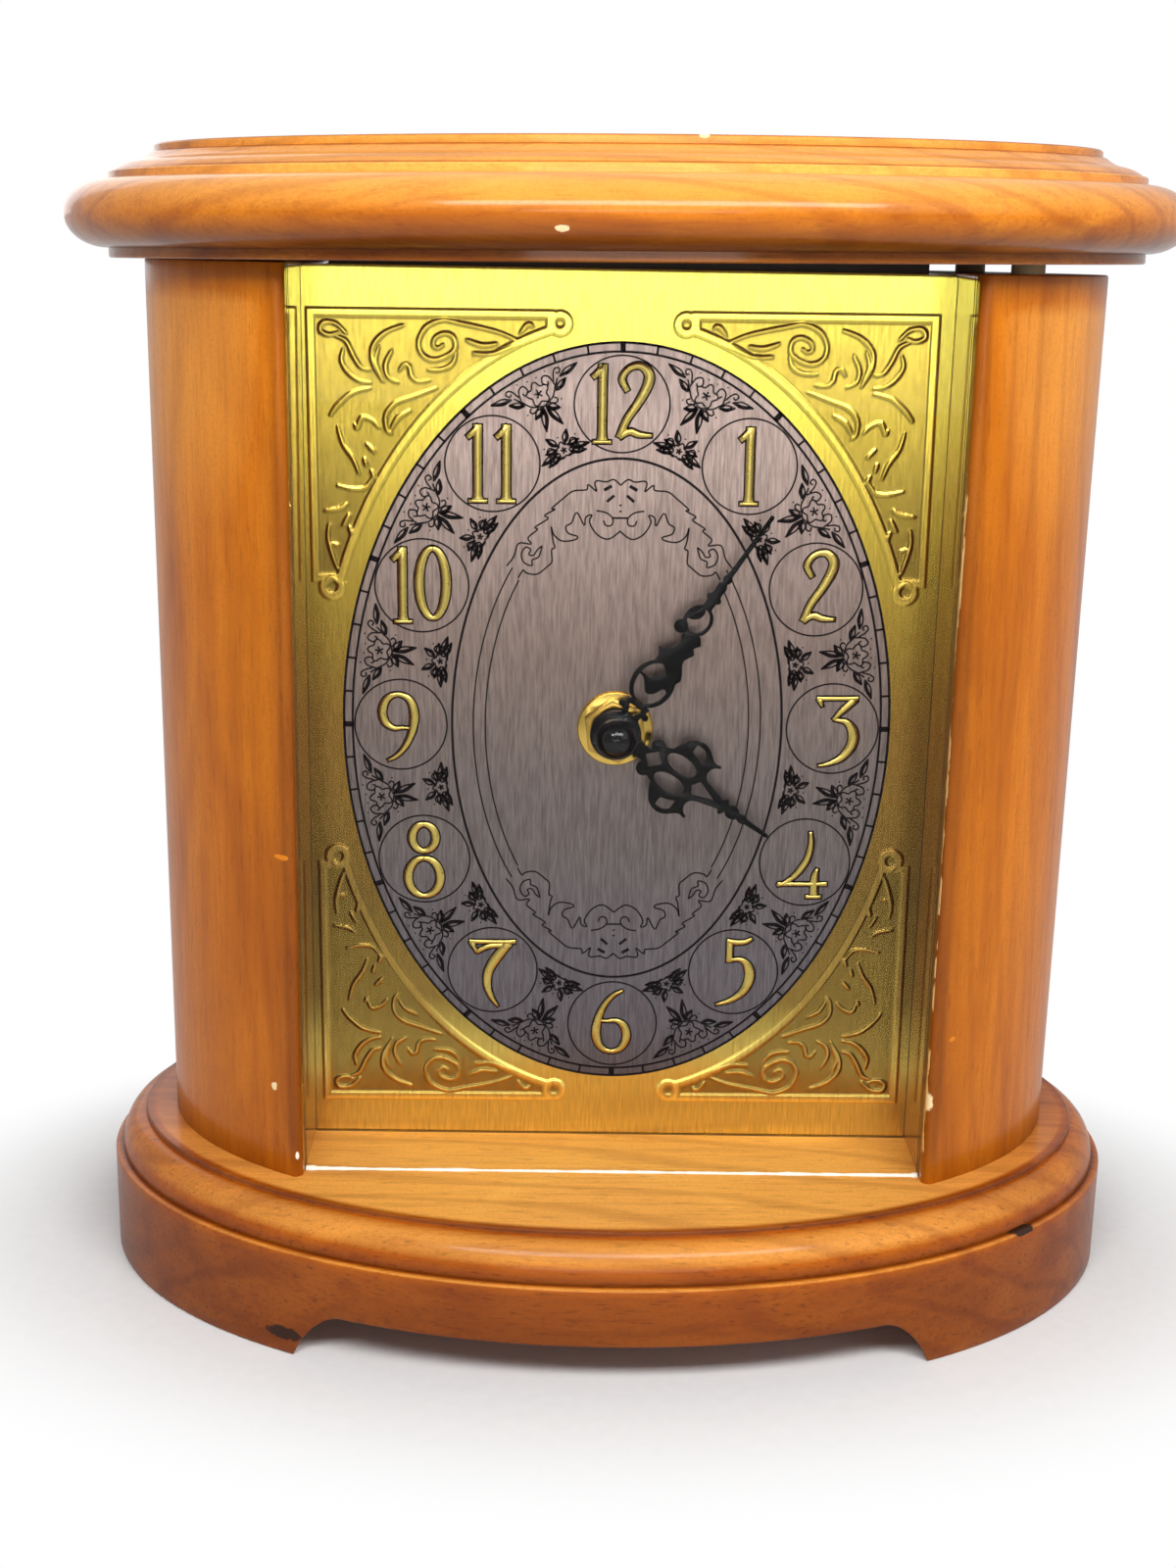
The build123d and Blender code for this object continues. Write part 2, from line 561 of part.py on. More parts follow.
def gear(teeth, module, phase, centre):
    """Toothed outline with involute flanks; phase is the direction of one tooth's middle in degrees."""
    pitch = teeth * module / 2
    base = pitch * math.cos(math.radians(PRESSURE_ANGLE))
    tip = pitch + ADDENDUM * module
    root = pitch - DEDENDUM * module
    half_tooth = TOOTH_SHARE * math.pi / teeth + involute(math.radians(PRESSURE_ANGLE))

    def flank(radius):
        reach = max(radius, base)
        return half_tooth - involute(math.acos(base / reach))

    rising = [(radius, flank(radius)) for radius in (root, max(root, base), pitch, tip)]
    if root >= base:
        rising.pop(1)
    points = []
    for tooth in range(teeth):
        middle = math.radians(phase) + 2 * math.pi * tooth / teeth
        for radius, half in rising:
            points.append((radius * math.cos(middle - half), radius * math.sin(middle - half)))
        for radius, half in reversed(rising):
            points.append((radius * math.cos(middle + half), radius * math.sin(middle + half)))
    return Pos(*centre) * make_face(Polyline(*points, close=True))


def mesh_phase(direction, phase, teeth, other_teeth):
    """Tooth direction that puts another wheel in mesh with one whose tooth direction is known."""
    turned = (direction - phase) * teeth / 360
    return direction + 180 - (0.5 - turned) * 360 / other_teeth


SECONDS_PHASE = 0.0
SECONDS_PINION_PHASE = 0.0
THIRD_PHASE = mesh_phase(THIRD_DIRECTION, SECONDS_PINION_PHASE, LEAVES, THIRD_TEETH)
THIRD_PINION_PHASE = 0.0
CENTRE_PHASE = mesh_phase(THIRD_DIRECTION + 180, THIRD_PINION_PHASE, LEAVES, CENTRE_TEETH)
INTERMEDIATE_PINION_PHASE = mesh_phase(INTERMEDIATE_DIRECTION, SECONDS_PHASE, SECONDS_TEETH, LEAVES)
INTERMEDIATE_PHASE = 0.0
ROTOR_PHASE = mesh_phase(ROTOR_DIRECTION, INTERMEDIATE_PHASE, INTERMEDIATE_TEETH, LEAVES)
CANNON_PHASE = 0.0
MINUTE_WHEEL_PHASE = mesh_phase(SETTING_DIRECTION, CANNON_PHASE, CANNON_TEETH, MINUTE_WHEEL_TEETH)
SETTING_PINION_PHASE = 0.0
HOUR_PHASE = mesh_phase(SETTING_DIRECTION + 180, SETTING_PINION_PHASE, SETTING_LEAVES, HOUR_TEETH)


def make_minute_arbor():
    """Shaft of the minute hand with its cannon pinion and the collar behind the centre wheel."""
    arbor = layer(disc(MINUTE_ARBOR_RADIUS), MINUTE_ARBOR_Y, CENTRE_LAYER_Y + WHEEL_THICKNESS + HAND_GAP)
    pinion = gear(CANNON_TEETH, CANNON_MODULE, CANNON_PHASE, CENTRE)
    return arbor + layer(pinion, MINUTE_LAYER_Y, MINUTE_LAYER_Y + WHEEL_THICKNESS)


def make_hour_wheel():
    wheel = layer(
        gear(HOUR_TEETH, HOUR_MODULE, HOUR_PHASE, CENTRE), HOUR_LAYER_Y, HOUR_LAYER_Y + WHEEL_THICKNESS
    )
    wheel += layer(disc(HOUR_TUBE_RADIUS), HOUR_TUBE_Y, HOUR_LAYER_Y)
    bore = disc(MINUTE_ARBOR_RADIUS + RUN_GAP)
    return wheel - layer(bore, HOUR_TUBE_Y - OVERCUT, HOUR_LAYER_Y + WHEEL_THICKNESS + OVERCUT)


def make_minute_wheel():
    """Setting wheel: its pinion turns the hour wheel and its shaft carries the knob."""
    wheel = layer(
        gear(MINUTE_WHEEL_TEETH, CANNON_MODULE, MINUTE_WHEEL_PHASE, SETTING_CENTRE),
        MINUTE_LAYER_Y,
        MINUTE_LAYER_Y + WHEEL_THICKNESS,
    )
    wheel += layer(
        gear(SETTING_LEAVES, HOUR_MODULE, SETTING_PINION_PHASE, SETTING_CENTRE), HOUR_LAYER_Y, MINUTE_LAYER_Y
    )
    shaft = disc(SETTING_SHAFT_RADIUS, SETTING_CENTRE)
    front_end = CASE_Y + CASE_WALL / 2
    return wheel + layer(shaft, front_end, CASE_BACK_Y + HAND_GAP + KNOB_HEIGHT)


def make_set_knob():
    knob = disc(KNOB_RADIUS, SETTING_CENTRE)
    for i in range(KNOB_FLUTES):
        knob -= disc(KNOB_FLUTE_RADIUS, polar(KNOB_RADIUS, 360 * i / KNOB_FLUTES, SETTING_CENTRE))
    knob -= disc(SETTING_SHAFT_RADIUS + GLUE_GAP, SETTING_CENTRE)
    front = CASE_BACK_Y + HAND_GAP
    return layer(knob, front, front + KNOB_HEIGHT)


def make_centre_wheel():
    wheel = gear(CENTRE_TEETH, CENTRE_MODULE, CENTRE_PHASE, CENTRE) - disc(MINUTE_ARBOR_RADIUS + RUN_GAP)
    return layer(wheel, CENTRE_LAYER_Y, CENTRE_LAYER_Y + WHEEL_THICKNESS)


def posted_wheel(wheel, pinion, centre, wheel_y, pinion_y):
    """Wheel and pinion in one piece, bored to run on a post."""
    whole = layer(wheel, wheel_y, wheel_y + WHEEL_THICKNESS)
    whole += layer(pinion, min(pinion_y, wheel_y), max(pinion_y, wheel_y) + WHEEL_THICKNESS)
    bore = disc(POST_RADIUS + RUN_GAP, centre)
    front = min(pinion_y, wheel_y) - OVERCUT
    return whole - layer(bore, front, max(pinion_y, wheel_y) + WHEEL_THICKNESS + OVERCUT)


def make_third_wheel():
    wheel = gear(THIRD_TEETH, THIRD_MODULE, THIRD_PHASE, THIRD_CENTRE)
    pinion = gear(LEAVES, CENTRE_MODULE, THIRD_PINION_PHASE, THIRD_CENTRE)
    return posted_wheel(wheel, pinion, THIRD_CENTRE, THIRD_LAYER_Y, CENTRE_LAYER_Y)


def make_seconds_wheel():
    wheel = gear(SECONDS_TEETH, SECONDS_MODULE, SECONDS_PHASE, CENTRE)
    pinion = gear(LEAVES, THIRD_MODULE, SECONDS_PINION_PHASE, CENTRE)
    return posted_wheel(wheel, pinion, CENTRE, SECONDS_LAYER_Y, THIRD_LAYER_Y)


def make_intermediate_wheel():
    wheel = gear(INTERMEDIATE_TEETH, ROTOR_MODULE, INTERMEDIATE_PHASE, INTERMEDIATE_CENTRE)
    pinion = gear(LEAVES, SECONDS_MODULE, INTERMEDIATE_PINION_PHASE, INTERMEDIATE_CENTRE)
    return posted_wheel(wheel, pinion, INTERMEDIATE_CENTRE, INTERMEDIATE_LAYER_Y, SECONDS_LAYER_Y)


def make_rotor():
    pinion = gear(LEAVES, ROTOR_MODULE, ROTOR_PHASE, ROTOR_CENTRE)
    rotor = layer(pinion, INTERMEDIATE_LAYER_Y, MAGNET_Y)
    rotor += layer(disc(MAGNET_RADIUS, ROTOR_CENTRE), MAGNET_Y, MAGNET_Y + MAGNET_HEIGHT)
    bore = disc(POST_RADIUS + RUN_GAP, ROTOR_CENTRE)
    return rotor - layer(bore, INTERMEDIATE_LAYER_Y - OVERCUT, MAGNET_Y + MAGNET_HEIGHT + OVERCUT)


# Movement case, motor, circuit and battery

def square(width, height, centre=CENTRE):
    return Pos(*centre) * Rectangle(width, height)


HALF_CASE = CASE_SIZE / 2
INNER_HALF = HALF_CASE - CASE_WALL
BAY_FLOOR = BAY_TOP - BAY_WALL
BATTERY_V = (BAY_FLOOR - INNER_HALF) / 2
BATTERY_Y = (CASE_Y + CASE_WALL + COVER_Y) / 2
COIL_V = ROTOR_CENTRE[1] + COIL_RISE
STATOR_FLOOR = ROTOR_CENTRE[1] - MAGNET_RADIUS - STATOR_GAP - STATOR_MARGIN
STATOR_CEILING = ROTOR_CENTRE[1] + MAGNET_RADIUS + STATOR_GAP + STATOR_MARGIN
LEG_MIDDLE = STATOR_HALF_WIDTH - STATOR_LEG_WIDTH / 2
BOARD_CENTRE = (BOARD_PLAY + BOARD_WIDTH / 2 - INNER_HALF, INNER_HALF - BOARD_HEIGHT / 2 - BOARD_PLAY)


def boss_places():
    """Cover bosses behind the stator's feet and the circuit board's corners."""
    places = [(ROTOR_CENTRE[0] + side * LEG_MIDDLE, COIL_V + CORE_WIDTH / 2) for side in (-1, 1)]
    for side in (-1, 1):
        across = side * (BOARD_WIDTH / 2 - BOSS_RADIUS)
        places.append((BOARD_CENTRE[0] + across, BOARD_CENTRE[1] - side * (BOARD_HEIGHT / 2 - BOSS_RADIUS)))
    return places


def make_movement_case():
    shell = layer(RectangleRounded(CASE_SIZE, CASE_SIZE, 2 * CASE_WALL), CASE_Y, COVER_Y)
    inside = RectangleRounded(2 * INNER_HALF, 2 * INNER_HALF, CASE_WALL)
    shell -= layer(inside, CASE_Y + CASE_WALL, COVER_Y + OVERCUT)
    bay_wall = square(2 * INNER_HALF, BAY_WALL, (0, BAY_TOP - BAY_WALL / 2))
    shell += layer(bay_wall, CASE_Y + CASE_WALL, COVER_Y)
    shell += layer(disc(BUSH_RADIUS), BUSH_Y, CASE_Y + CASE_WALL)
    shell -= layer(disc(HOUR_TUBE_RADIUS + RUN_GAP), BUSH_Y - OVERCUT, CASE_Y + CASE_WALL + OVERCUT)
    pivot = disc(SETTING_SHAFT_RADIUS + RUN_GAP, SETTING_CENTRE)
    return shell - layer(pivot, CASE_Y + CASE_WALL / 2, CASE_Y + CASE_WALL + OVERCUT)


def make_movement_cover():
    plate = RectangleRounded(CASE_SIZE, CASE_SIZE, 2 * CASE_WALL)
    window = 2 * BATTERY_RADIUS + BAY_PLAY
    plate -= square(2 * INNER_HALF, window, (0, BATTERY_V))
    plate -= disc(SETTING_SHAFT_RADIUS + RUN_GAP, SETTING_CENTRE)
    cover = layer(plate, COVER_Y, CASE_BACK_Y)
    posts = [
        (THIRD_CENTRE, CENTRE_LAYER_Y, THIRD_LAYER_Y),
        (CENTRE, THIRD_LAYER_Y, SECONDS_LAYER_Y),
        (INTERMEDIATE_CENTRE, SECONDS_LAYER_Y, INTERMEDIATE_LAYER_Y),
    ]
    for centre, front_y, wheel_y in posts:
        shoulder_y = wheel_y + WHEEL_THICKNESS + RUN_GAP
        cover += layer(disc(POST_RADIUS, centre), front_y, COVER_Y)
        if centre != CENTRE:
            cover += layer(disc(POST_SHOULDER, centre), shoulder_y, COVER_Y)
    rotor_shoulder = MAGNET_Y + MAGNET_HEIGHT + RUN_GAP
    cover += layer(disc(POST_RADIUS, ROTOR_CENTRE), INTERMEDIATE_LAYER_Y, COVER_Y)
    cover += layer(disc(POST_SHOULDER, ROTOR_CENTRE), rotor_shoulder, COVER_Y)
    for place in boss_places():
        cover += layer(disc(BOSS_RADIUS, place), STATOR_Y + STATOR_THICKNESS, COVER_Y)
    return cover


def make_stator():
    middle = (ROTOR_CENTRE[0], (STATOR_FLOOR + STATOR_CEILING) / 2)
    plate = square(2 * STATOR_HALF_WIDTH, STATOR_CEILING - STATOR_FLOOR, middle)
    leg_top = COIL_V + CORE_WIDTH
    for side in (-1, 1):
        leg_x = ROTOR_CENTRE[0] + side * LEG_MIDDLE
        leg_height = leg_top - STATOR_FLOOR
        plate += square(STATOR_LEG_WIDTH, leg_height, (leg_x, STATOR_FLOOR + leg_height / 2))
    plate -= disc(MAGNET_RADIUS + STATOR_GAP, ROTOR_CENTRE)
    return layer(plate, STATOR_Y, STATOR_Y + STATOR_THICKNESS)


def make_coil():
    """Core bar across the stator's legs, with the bobbin and its winding."""
    core_y = STATOR_Y - STATOR_THICKNESS
    core = square(2 * STATOR_HALF_WIDTH, CORE_WIDTH, (ROTOR_CENTRE[0], COIL_V))
    coil = layer(core, core_y, STATOR_Y)
    half_length = STATOR_HALF_WIDTH - STATOR_LEG_WIDTH - 2 * BOBBIN_CHEEK
    middle = (ARBOR_X + ROTOR_CENTRE[0], core_y + STATOR_THICKNESS / 2, ARBOR_Z + COIL_V)
    along = Plane(origin=middle, x_dir=(0, 1, 0), z_dir=(1, 0, 0))
    coil += along * Cylinder(COIL_RADIUS, 2 * half_length)
    for side in (-1, 1):
        cheek = Cylinder(COIL_RADIUS + BOBBIN_LIP, BOBBIN_CHEEK)
        coil += along * Pos(0, 0, side * (half_length + BOBBIN_CHEEK / 2)) * cheek
    return coil


def make_circuit_board():
    front = STATOR_Y + STATOR_THICKNESS - BOARD_THICKNESS
    board = layer(square(BOARD_WIDTH, BOARD_HEIGHT, BOARD_CENTRE), front, front + BOARD_THICKNESS)
    chip = disc(CHIP_RADIUS, (BOARD_CENTRE[0], BOARD_CENTRE[1] - BOARD_HEIGHT / 6))
    return board + layer(chip, front - CHIP_HEIGHT, front)


def make_crystal():
    front = STATOR_Y + STATOR_THICKNESS - BOARD_THICKNESS
    middle = (
        ARBOR_X + BOARD_CENTRE[0],
        front - CRYSTAL_RADIUS,
        ARBOR_Z + BOARD_CENTRE[1] + BOARD_HEIGHT / 2 - 2 * CRYSTAL_RADIUS,
    )
    return Plane(origin=middle, x_dir=(0, 1, 0), z_dir=(1, 0, 0)) * Cylinder(CRYSTAL_RADIUS, CRYSTAL_LENGTH)


def make_battery():
    middle = (ARBOR_X, BATTERY_Y, ARBOR_Z + BATTERY_V)
    along = Plane(origin=middle, x_dir=(0, 1, 0), z_dir=(1, 0, 0))
    body_length = BATTERY_LENGTH - BATTERY_CAP_LENGTH
    body = Pos(0, 0, -BATTERY_CAP_LENGTH / 2) * Cylinder(BATTERY_RADIUS, body_length)
    cap = Pos(0, 0, body_length / 2) * Cylinder(BATTERY_CAP_RADIUS, BATTERY_CAP_LENGTH)
    return along * (body + cap)


def make_contact(side):
    """Spring strip on the bay's end wall, bowed towards the cell's end."""
    wall = side * INNER_HALF
    tip = side * (BATTERY_LENGTH / 2 + RUN_GAP)
    bow = (wall - tip) * CONTACT_BOW
    half = CONTACT_WIDTH / 2
    inner = ThreePointArc((wall, -half), (wall - bow, 0), (wall, half))
    strip = make_face([inner, Line((wall, half), (wall, -half))])
    hollow_wall = wall + side * CONTACT_THICKNESS
    hollow = make_face(
        [
            ThreePointArc((hollow_wall, -half), (hollow_wall - bow, 0), (hollow_wall, half)),
            Line((hollow_wall, half), (hollow_wall, -half)),
        ]
    )
    strip = Pos(0, BATTERY_V) * (strip - hollow)
    return layer(strip, BATTERY_Y - half, BATTERY_Y + half)


PARTS = {
    "base": make_base(),
    "column_left": make_column(-1),
    "column_right": make_column(1),
    "top_board": make_top_board(),
    "base_dowels": make_dowels(BASE_HEIGHT),
    "top_dowels": make_dowels(COLUMN_TOP),
    "glass_pane": make_glass(),
    "dial_plate": make_dial_plate(),
    "dial_board": make_dial_board(),
    "back_panel": make_back_panel(),
    "movement_gasket": layer(disc(GASKET_RADIUS, hole=BUSH_RADIUS + BUSH_PLAY), BOARD_BACK_Y, CASE_Y),
    "dial_washer": layer(disc(WASHER_RADIUS, hole=BUSH_RADIUS + BUSH_PLAY), WASHER_Y, DIAL_Y),
    "hex_nut": make_hex_nut(),
    "movement_case": make_movement_case(),
    "movement_cover": make_movement_cover(),
    "stator": make_stator(),
    "coil": make_coil(),
    "circuit_board": make_circuit_board(),
    "quartz_crystal": make_crystal(),
    "contact_negative": make_contact(-1),
    "contact_positive": make_contact(1),
    "minute_arbor": make_minute_arbor(),
    "minute_hand": make_minute_hand(),
    "hand_nut": make_hand_nut(),
    "hour_wheel": make_hour_wheel(),
    "hour_hand": make_hour_hand(),
    "minute_wheel": make_minute_wheel(),
    "set_knob": make_set_knob(),
    "centre_wheel": make_centre_wheel(),
    "third_wheel": make_third_wheel(),
    "seconds_wheel": make_seconds_wheel(),
    "intermediate_wheel": make_intermediate_wheel(),
    "rotor": make_rotor(),
    "battery": make_battery(),
}

os.makedirs("parts", exist_ok=True)
for name, part in PARTS.items():
    export_step(part, f"parts/{name}.step")
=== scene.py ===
import json
import math
import random

import bmesh
import bpy
import numpy as np
from mathutils import Matrix, Vector


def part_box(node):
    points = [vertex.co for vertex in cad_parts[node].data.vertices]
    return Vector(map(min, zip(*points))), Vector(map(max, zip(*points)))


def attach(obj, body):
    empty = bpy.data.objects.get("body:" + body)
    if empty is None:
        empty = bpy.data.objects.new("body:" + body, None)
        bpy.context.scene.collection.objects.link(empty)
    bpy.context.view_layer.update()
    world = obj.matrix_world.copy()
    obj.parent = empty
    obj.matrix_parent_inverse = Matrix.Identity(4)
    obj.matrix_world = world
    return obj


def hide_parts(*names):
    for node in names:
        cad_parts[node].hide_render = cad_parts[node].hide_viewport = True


# Oval mantel clock: moulded wooden case, embossed brass dial, pierced hands. Sizes here are in millimetres
# in the part's own frame, and mesh_from() turns them into metres.

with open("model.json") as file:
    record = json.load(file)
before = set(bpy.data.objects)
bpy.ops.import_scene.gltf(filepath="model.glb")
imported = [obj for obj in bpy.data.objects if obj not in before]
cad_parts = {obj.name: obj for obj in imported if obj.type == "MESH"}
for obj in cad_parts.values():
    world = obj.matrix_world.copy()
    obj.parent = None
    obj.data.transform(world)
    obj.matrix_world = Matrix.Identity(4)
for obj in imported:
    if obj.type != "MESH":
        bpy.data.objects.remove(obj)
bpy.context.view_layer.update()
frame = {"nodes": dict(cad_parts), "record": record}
MM = 0.001


def node_box(name):
    """Lowest and highest corners of a CAD node, in millimetres."""
    low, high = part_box(name)
    return [value / MM for value in low], [value / MM for value in high]


BASE_HIGH = node_box("base")[1]
COLUMN_LOW, COLUMN_HIGH = node_box("column_right")
PLATE_LOW, PLATE_HIGH = node_box("dial_plate")
WASHER_LOW, WASHER_HIGH = node_box("dial_washer")
CAP_LOW, CAP_HIGH = node_box("hand_nut")
GLASS_LOW, GLASS_HIGH = node_box("glass_pane")

# Case sizes that repeat those of the part
BASE_HALF_WIDTH, BASE_HALF_DEPTH, BASE_HEIGHT = BASE_HIGH
LEDGE_DROP = 9.2
LEDGE_WIDTH = 1.8
OVOLO_WIDTH = 5.5
RIM_STEP = 1.4
RIM_INSET = LEDGE_WIDTH + OVOLO_WIDTH
ARCH_HEIGHT = 11.0
ARCH_HALF_WIDTH = 68.0
BRACKET_RUN = 10.5
BRACKET_FLARE = 1.5
BRACKET_KNEE = 4.6
BRACKET_SWEEP = 4.2
RIM_HALF_WIDTH = BASE_HALF_WIDTH - RIM_INSET
RIM_HALF_DEPTH = BASE_HALF_DEPTH - RIM_INSET
COLUMN_INSET = 7.3
COLUMN_HALF_WIDTH = RIM_HALF_WIDTH - COLUMN_INSET
COLUMN_HALF_DEPTH = RIM_HALF_DEPTH - COLUMN_INSET
COLUMN_EDGE_RADIUS = 1.6
OPENING_HALF_WIDTH = COLUMN_LOW[0]
COLUMN_TOP = COLUMN_HIGH[2]
TOP_TILT_DEG = 0.63
TOP_LIFT = 0.4
TOP_LOW_FILLET = 2.0
BULLNOSE_HEIGHT = 13.8
BULLNOSE_REACH = 8.8
MID_FILLET_HEIGHT = 1.6
MID_FILLET_INSET = 0.6
FILLET_LEDGE = 0.8
OGEE_HEIGHT = 3.8
OGEE_WIDTH = 8.0
OGEE_SWING = 0.55
CAP_FILLET_HEIGHT = 1.6
CAP_FILLET_INSET = MID_FILLET_INSET + OGEE_WIDTH + 2 * FILLET_LEDGE

# Rows of the base, each with inset, height and painted shade (painted light below nought): above the arch,
# about the ledge, and on the flat top
BASE_FOOT_ROWS = ((0.7, 0.0, 0.8), (0.21, 0.21, 0.75), (0.0, 0.7, 0.65), (0.0, 3.0, 0.68))
BASE_SIDE_ROWS = (
    (0.0, -7.0, 0.6), (0.0, -2.5, 0.48), (0.0, -0.7, 0.2), (0.21, -0.21, -0.5), (0.7, 0.0, -0.2),
    (LEDGE_WIDTH - 0.15, 0.0, 0.95),
)
BASE_TOP_ROWS = (
    (0.05, -0.35, 0.85), (0.4, 0.0, 0.5), (2.5, 0.0, -0.9), (20.0, 0.0, -1.0), (32.0, 0.0, -1.0),
)

# Painted shade and light, with some stain, and wear of the columns
CORNER_STAIN_AND_SHADE = 0.75
WALL_PAINTED_SHADE = 0.85
END_PAINTED_SHADE = 0.45
CORNER_SHADE_REACH = 5.0
COLUMN_TOP_PAINTED_LIGHT = 0.3
COLUMN_TOP_LIGHT_RUN = (70.0, 10.0)
WEAR_WIDTH = 0.3
WEAR_BELOW_TOP = 40.0

# Dial places: the art leans a little on the sheet
PLATE_FRONT = WASHER_HIGH[1]
OVAL_FRONT = PLATE_LOW[1]
ARBOR_X = (WASHER_LOW[0] + WASHER_HIGH[0]) / 2
ARBOR_Z = (WASHER_LOW[2] + WASHER_HIGH[2]) / 2
ART_X = -0.6
ART_Z = 129.6
ART_LEAN_DEG = 0.3
OVAL_HALF_WIDTH = 59.45
OVAL_HALF_HEIGHT = 81.85
WASHER_SEAT = (WASHER_HIGH[0] - WASHER_LOW[0]) / 2 + 0.3
SHEET_LIP = 1.5
DIAL_STEPS = 240
SHEET_LIFT = 0.02
INK_LIFT = 0.03
OVAL_FACE = OVAL_FRONT - 0.02
NUMERAL_RISE = 0.3
NUMERAL_EDGE = 0.6
CAP_RIM_HEIGHT = 1.8
CAP_DOME_RADIUS = 4.4

# Colours. Tones of wood go from dark to light; tones of the dial's metal go from the foot of the dial to its
# top and are painted reflections
BLACK = (0.0, 0.0, 0.0)
WHITE = (1.0, 1.0, 1.0)
WOOD_PORE = (0.12, 0.024, 0.002)
WOOD_RING = (0.25, 0.042, 0.003)
# Darkening tint for painted shade and some dark stain
STAIN_AND_SHADE_TINT = (0.25, 0.21, 0.6)
WOOD_LIGHT = (0.68, 0.205, 0.008)
COLUMN_TONES = ((0.36, 0.084, 0.002), (0.54, 0.145, 0.003), WOOD_LIGHT)
TOP_TONES = ((0.34, 0.078, 0.003), (0.54, 0.150, 0.006), (0.70, 0.235, 0.012))
BASE_TONES = ((0.27, 0.052, 0.002), (0.43, 0.097, 0.003), (0.57, 0.150, 0.006))
# Pale wood colour laid on as painted light
WOOD_PAINTED_LIGHT = (1.0, 0.465, 0.09)
# How much weaker painted light is towards the two ends of the oval
SIDE_LIGHT_FALLOFF = 0.95
WOOD_BARE = (0.86, 0.66, 0.36)
WOOD_WORN = (0.88, 0.56, 0.22)
PALE_CHIP = (0.9, 0.85, 0.7)
KNOT = (0.03, 0.010, 0.004)
# Painted reflection of the sheet: bright at the foot, dark olive in the middle, bright at the top
SHEET_PAINTED_REFLECTION = (
    (0.0, (0.96, 0.82, 0.24)), (0.08, (0.86, 0.66, 0.15)), (0.17, (0.30, 0.19, 0.045)),
    (0.3, (0.22, 0.135, 0.034)), (0.5, (0.37, 0.205, 0.046)), (0.75, (0.62, 0.45, 0.066)),
    (1.0, (0.92, 0.82, 0.12)),
)
# Painted reflection of the corner panels: darkest low in the middle, lighter towards foot and top
CORNER_PAINTED_REFLECTION = (
    (0.05, (0.44, 0.29, 0.065)), (0.15, (0.27, 0.175, 0.04)), (0.3, (0.20, 0.13, 0.033)),
    (0.7, (0.31, 0.205, 0.04)), (0.93, (0.55, 0.42, 0.06)),
)
# Painted reflection of the silvered oval: dark and bluish at the foot, pinker and lighter at the top
SILVER_PAINTED_REFLECTION = (
    (0.1, (0.142, 0.134, 0.16)), (0.4, (0.195, 0.162, 0.155)), (0.6, (0.285, 0.212, 0.183)),
    (0.95, (0.54, 0.405, 0.36)),
)
BATTERY_BAND = 0.72

# Knots, chips and lighter patches in the wood: place, half sizes and colour
BASE_MARKS = (((-70.0, -62.5, 4.8), (5.0, 5.0, 1.6), KNOT), ((89.3, -48.6, 24.0), (4.5, 3.5, 0.8), KNOT))
TOP_MARKS = (
    ((-13.8, -76.5, 233.2), (1.5, 3.0, 0.7), WOOD_BARE),
    ((12.1, -59.6, 250.2), (1.0, 2.0, 0.5), WOOD_BARE),
)
LEFT_MARKS = (
    ((-73.6, -44.0, 53.8), (0.7, 3.0, 1.0), WOOD_BARE),
    ((-68.6, -46.2, 38.4), (0.45, 2.0, 1.0), PALE_CHIP),
    ((-70.7, -45.7, 106.1), (1.8, 3.0, 0.6), WOOD_LIGHT),
)
RIGHT_MARKS = (
    ((67.9, -46.4, 52.9), (1.0, 2.0, 2.4), WOOD_BARE),
    ((72.5, -45.0, 67.0), (0.8, 2.0, 0.6), WOOD_LIGHT),
)

# Photograph's viewpoint
CAMERA_PLACE = (-12.17, -440.68, 229.37)
CAMERA_PITCH_DEG = 15.083
CAMERA_YAW_DEG = 0.756
CAMERA_ROLL_DEG = -1.040
CAMERA_LENS = 45.42
CAMERA_SENSOR = 36.0
CAMERA_NEAR = 0.01

# Lamps, in metres: place, aim, size and power
LAMPS = {
    "key": ((0.04, -0.42, 0.44), (0, 0, 0.14), (0.56, 0.12), 3.3),
    "fill": ((0.75, -0.65, 0.55), (0, 0, 0.12), (0.6, 0.6), 0.9),
    "rear": ((-0.5, 0.95, 0.55), (0, 0, 0.12), (0.7, 0.7), 2.0),
    "window": ((0.05, -1.9, 0.23), (0, 0, 0.20), (1.1, 0.34), 4.2),
}
WORLD_LIGHT = 0.17
FLOOR_HALF = 6000.0
FLOOR_FADE = (0.95, 1.6)


# Helpers

def placed(name, data):
    """New object in the scene that holds a mesh, lamp or camera."""
    made = bpy.data.objects.new(name, data)
    bpy.context.scene.collection.objects.link(made)
    return made


def mesh_from(name, vertices, faces, smooth=True):
    """New object from points in millimetres."""
    mesh = bpy.data.meshes.new(name)
    mesh.from_pydata([(x * MM, y * MM, z * MM) for x, y, z in vertices], [], faces)
    mesh.validate()
    mesh.polygons.foreach_set("use_smooth", [smooth] * len(mesh.polygons))
    mesh.update()
    return placed(name, mesh)


def between_rows(rows, count):
    """Faces that join closed rows of points, each to the next."""
    faces = []
    for start in range(0, (rows - 1) * count, count):
        for i in range(count):
            j = (i + 1) % count
            faces.append((start + i, start + j, start + count + j, start + count + i))
    return faces


REPLACED = set()


def dress(piece, material, body, slot, *nodes):
    """Give a piece its material and body, and hide the CAD nodes that it stands for. The record slot is not
    used.
    """
    piece.data.materials.clear()
    piece.data.materials.append(material)
    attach(piece, body)
    if nodes:
        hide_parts(*nodes)
        REPLACED.update(nodes)
    return piece


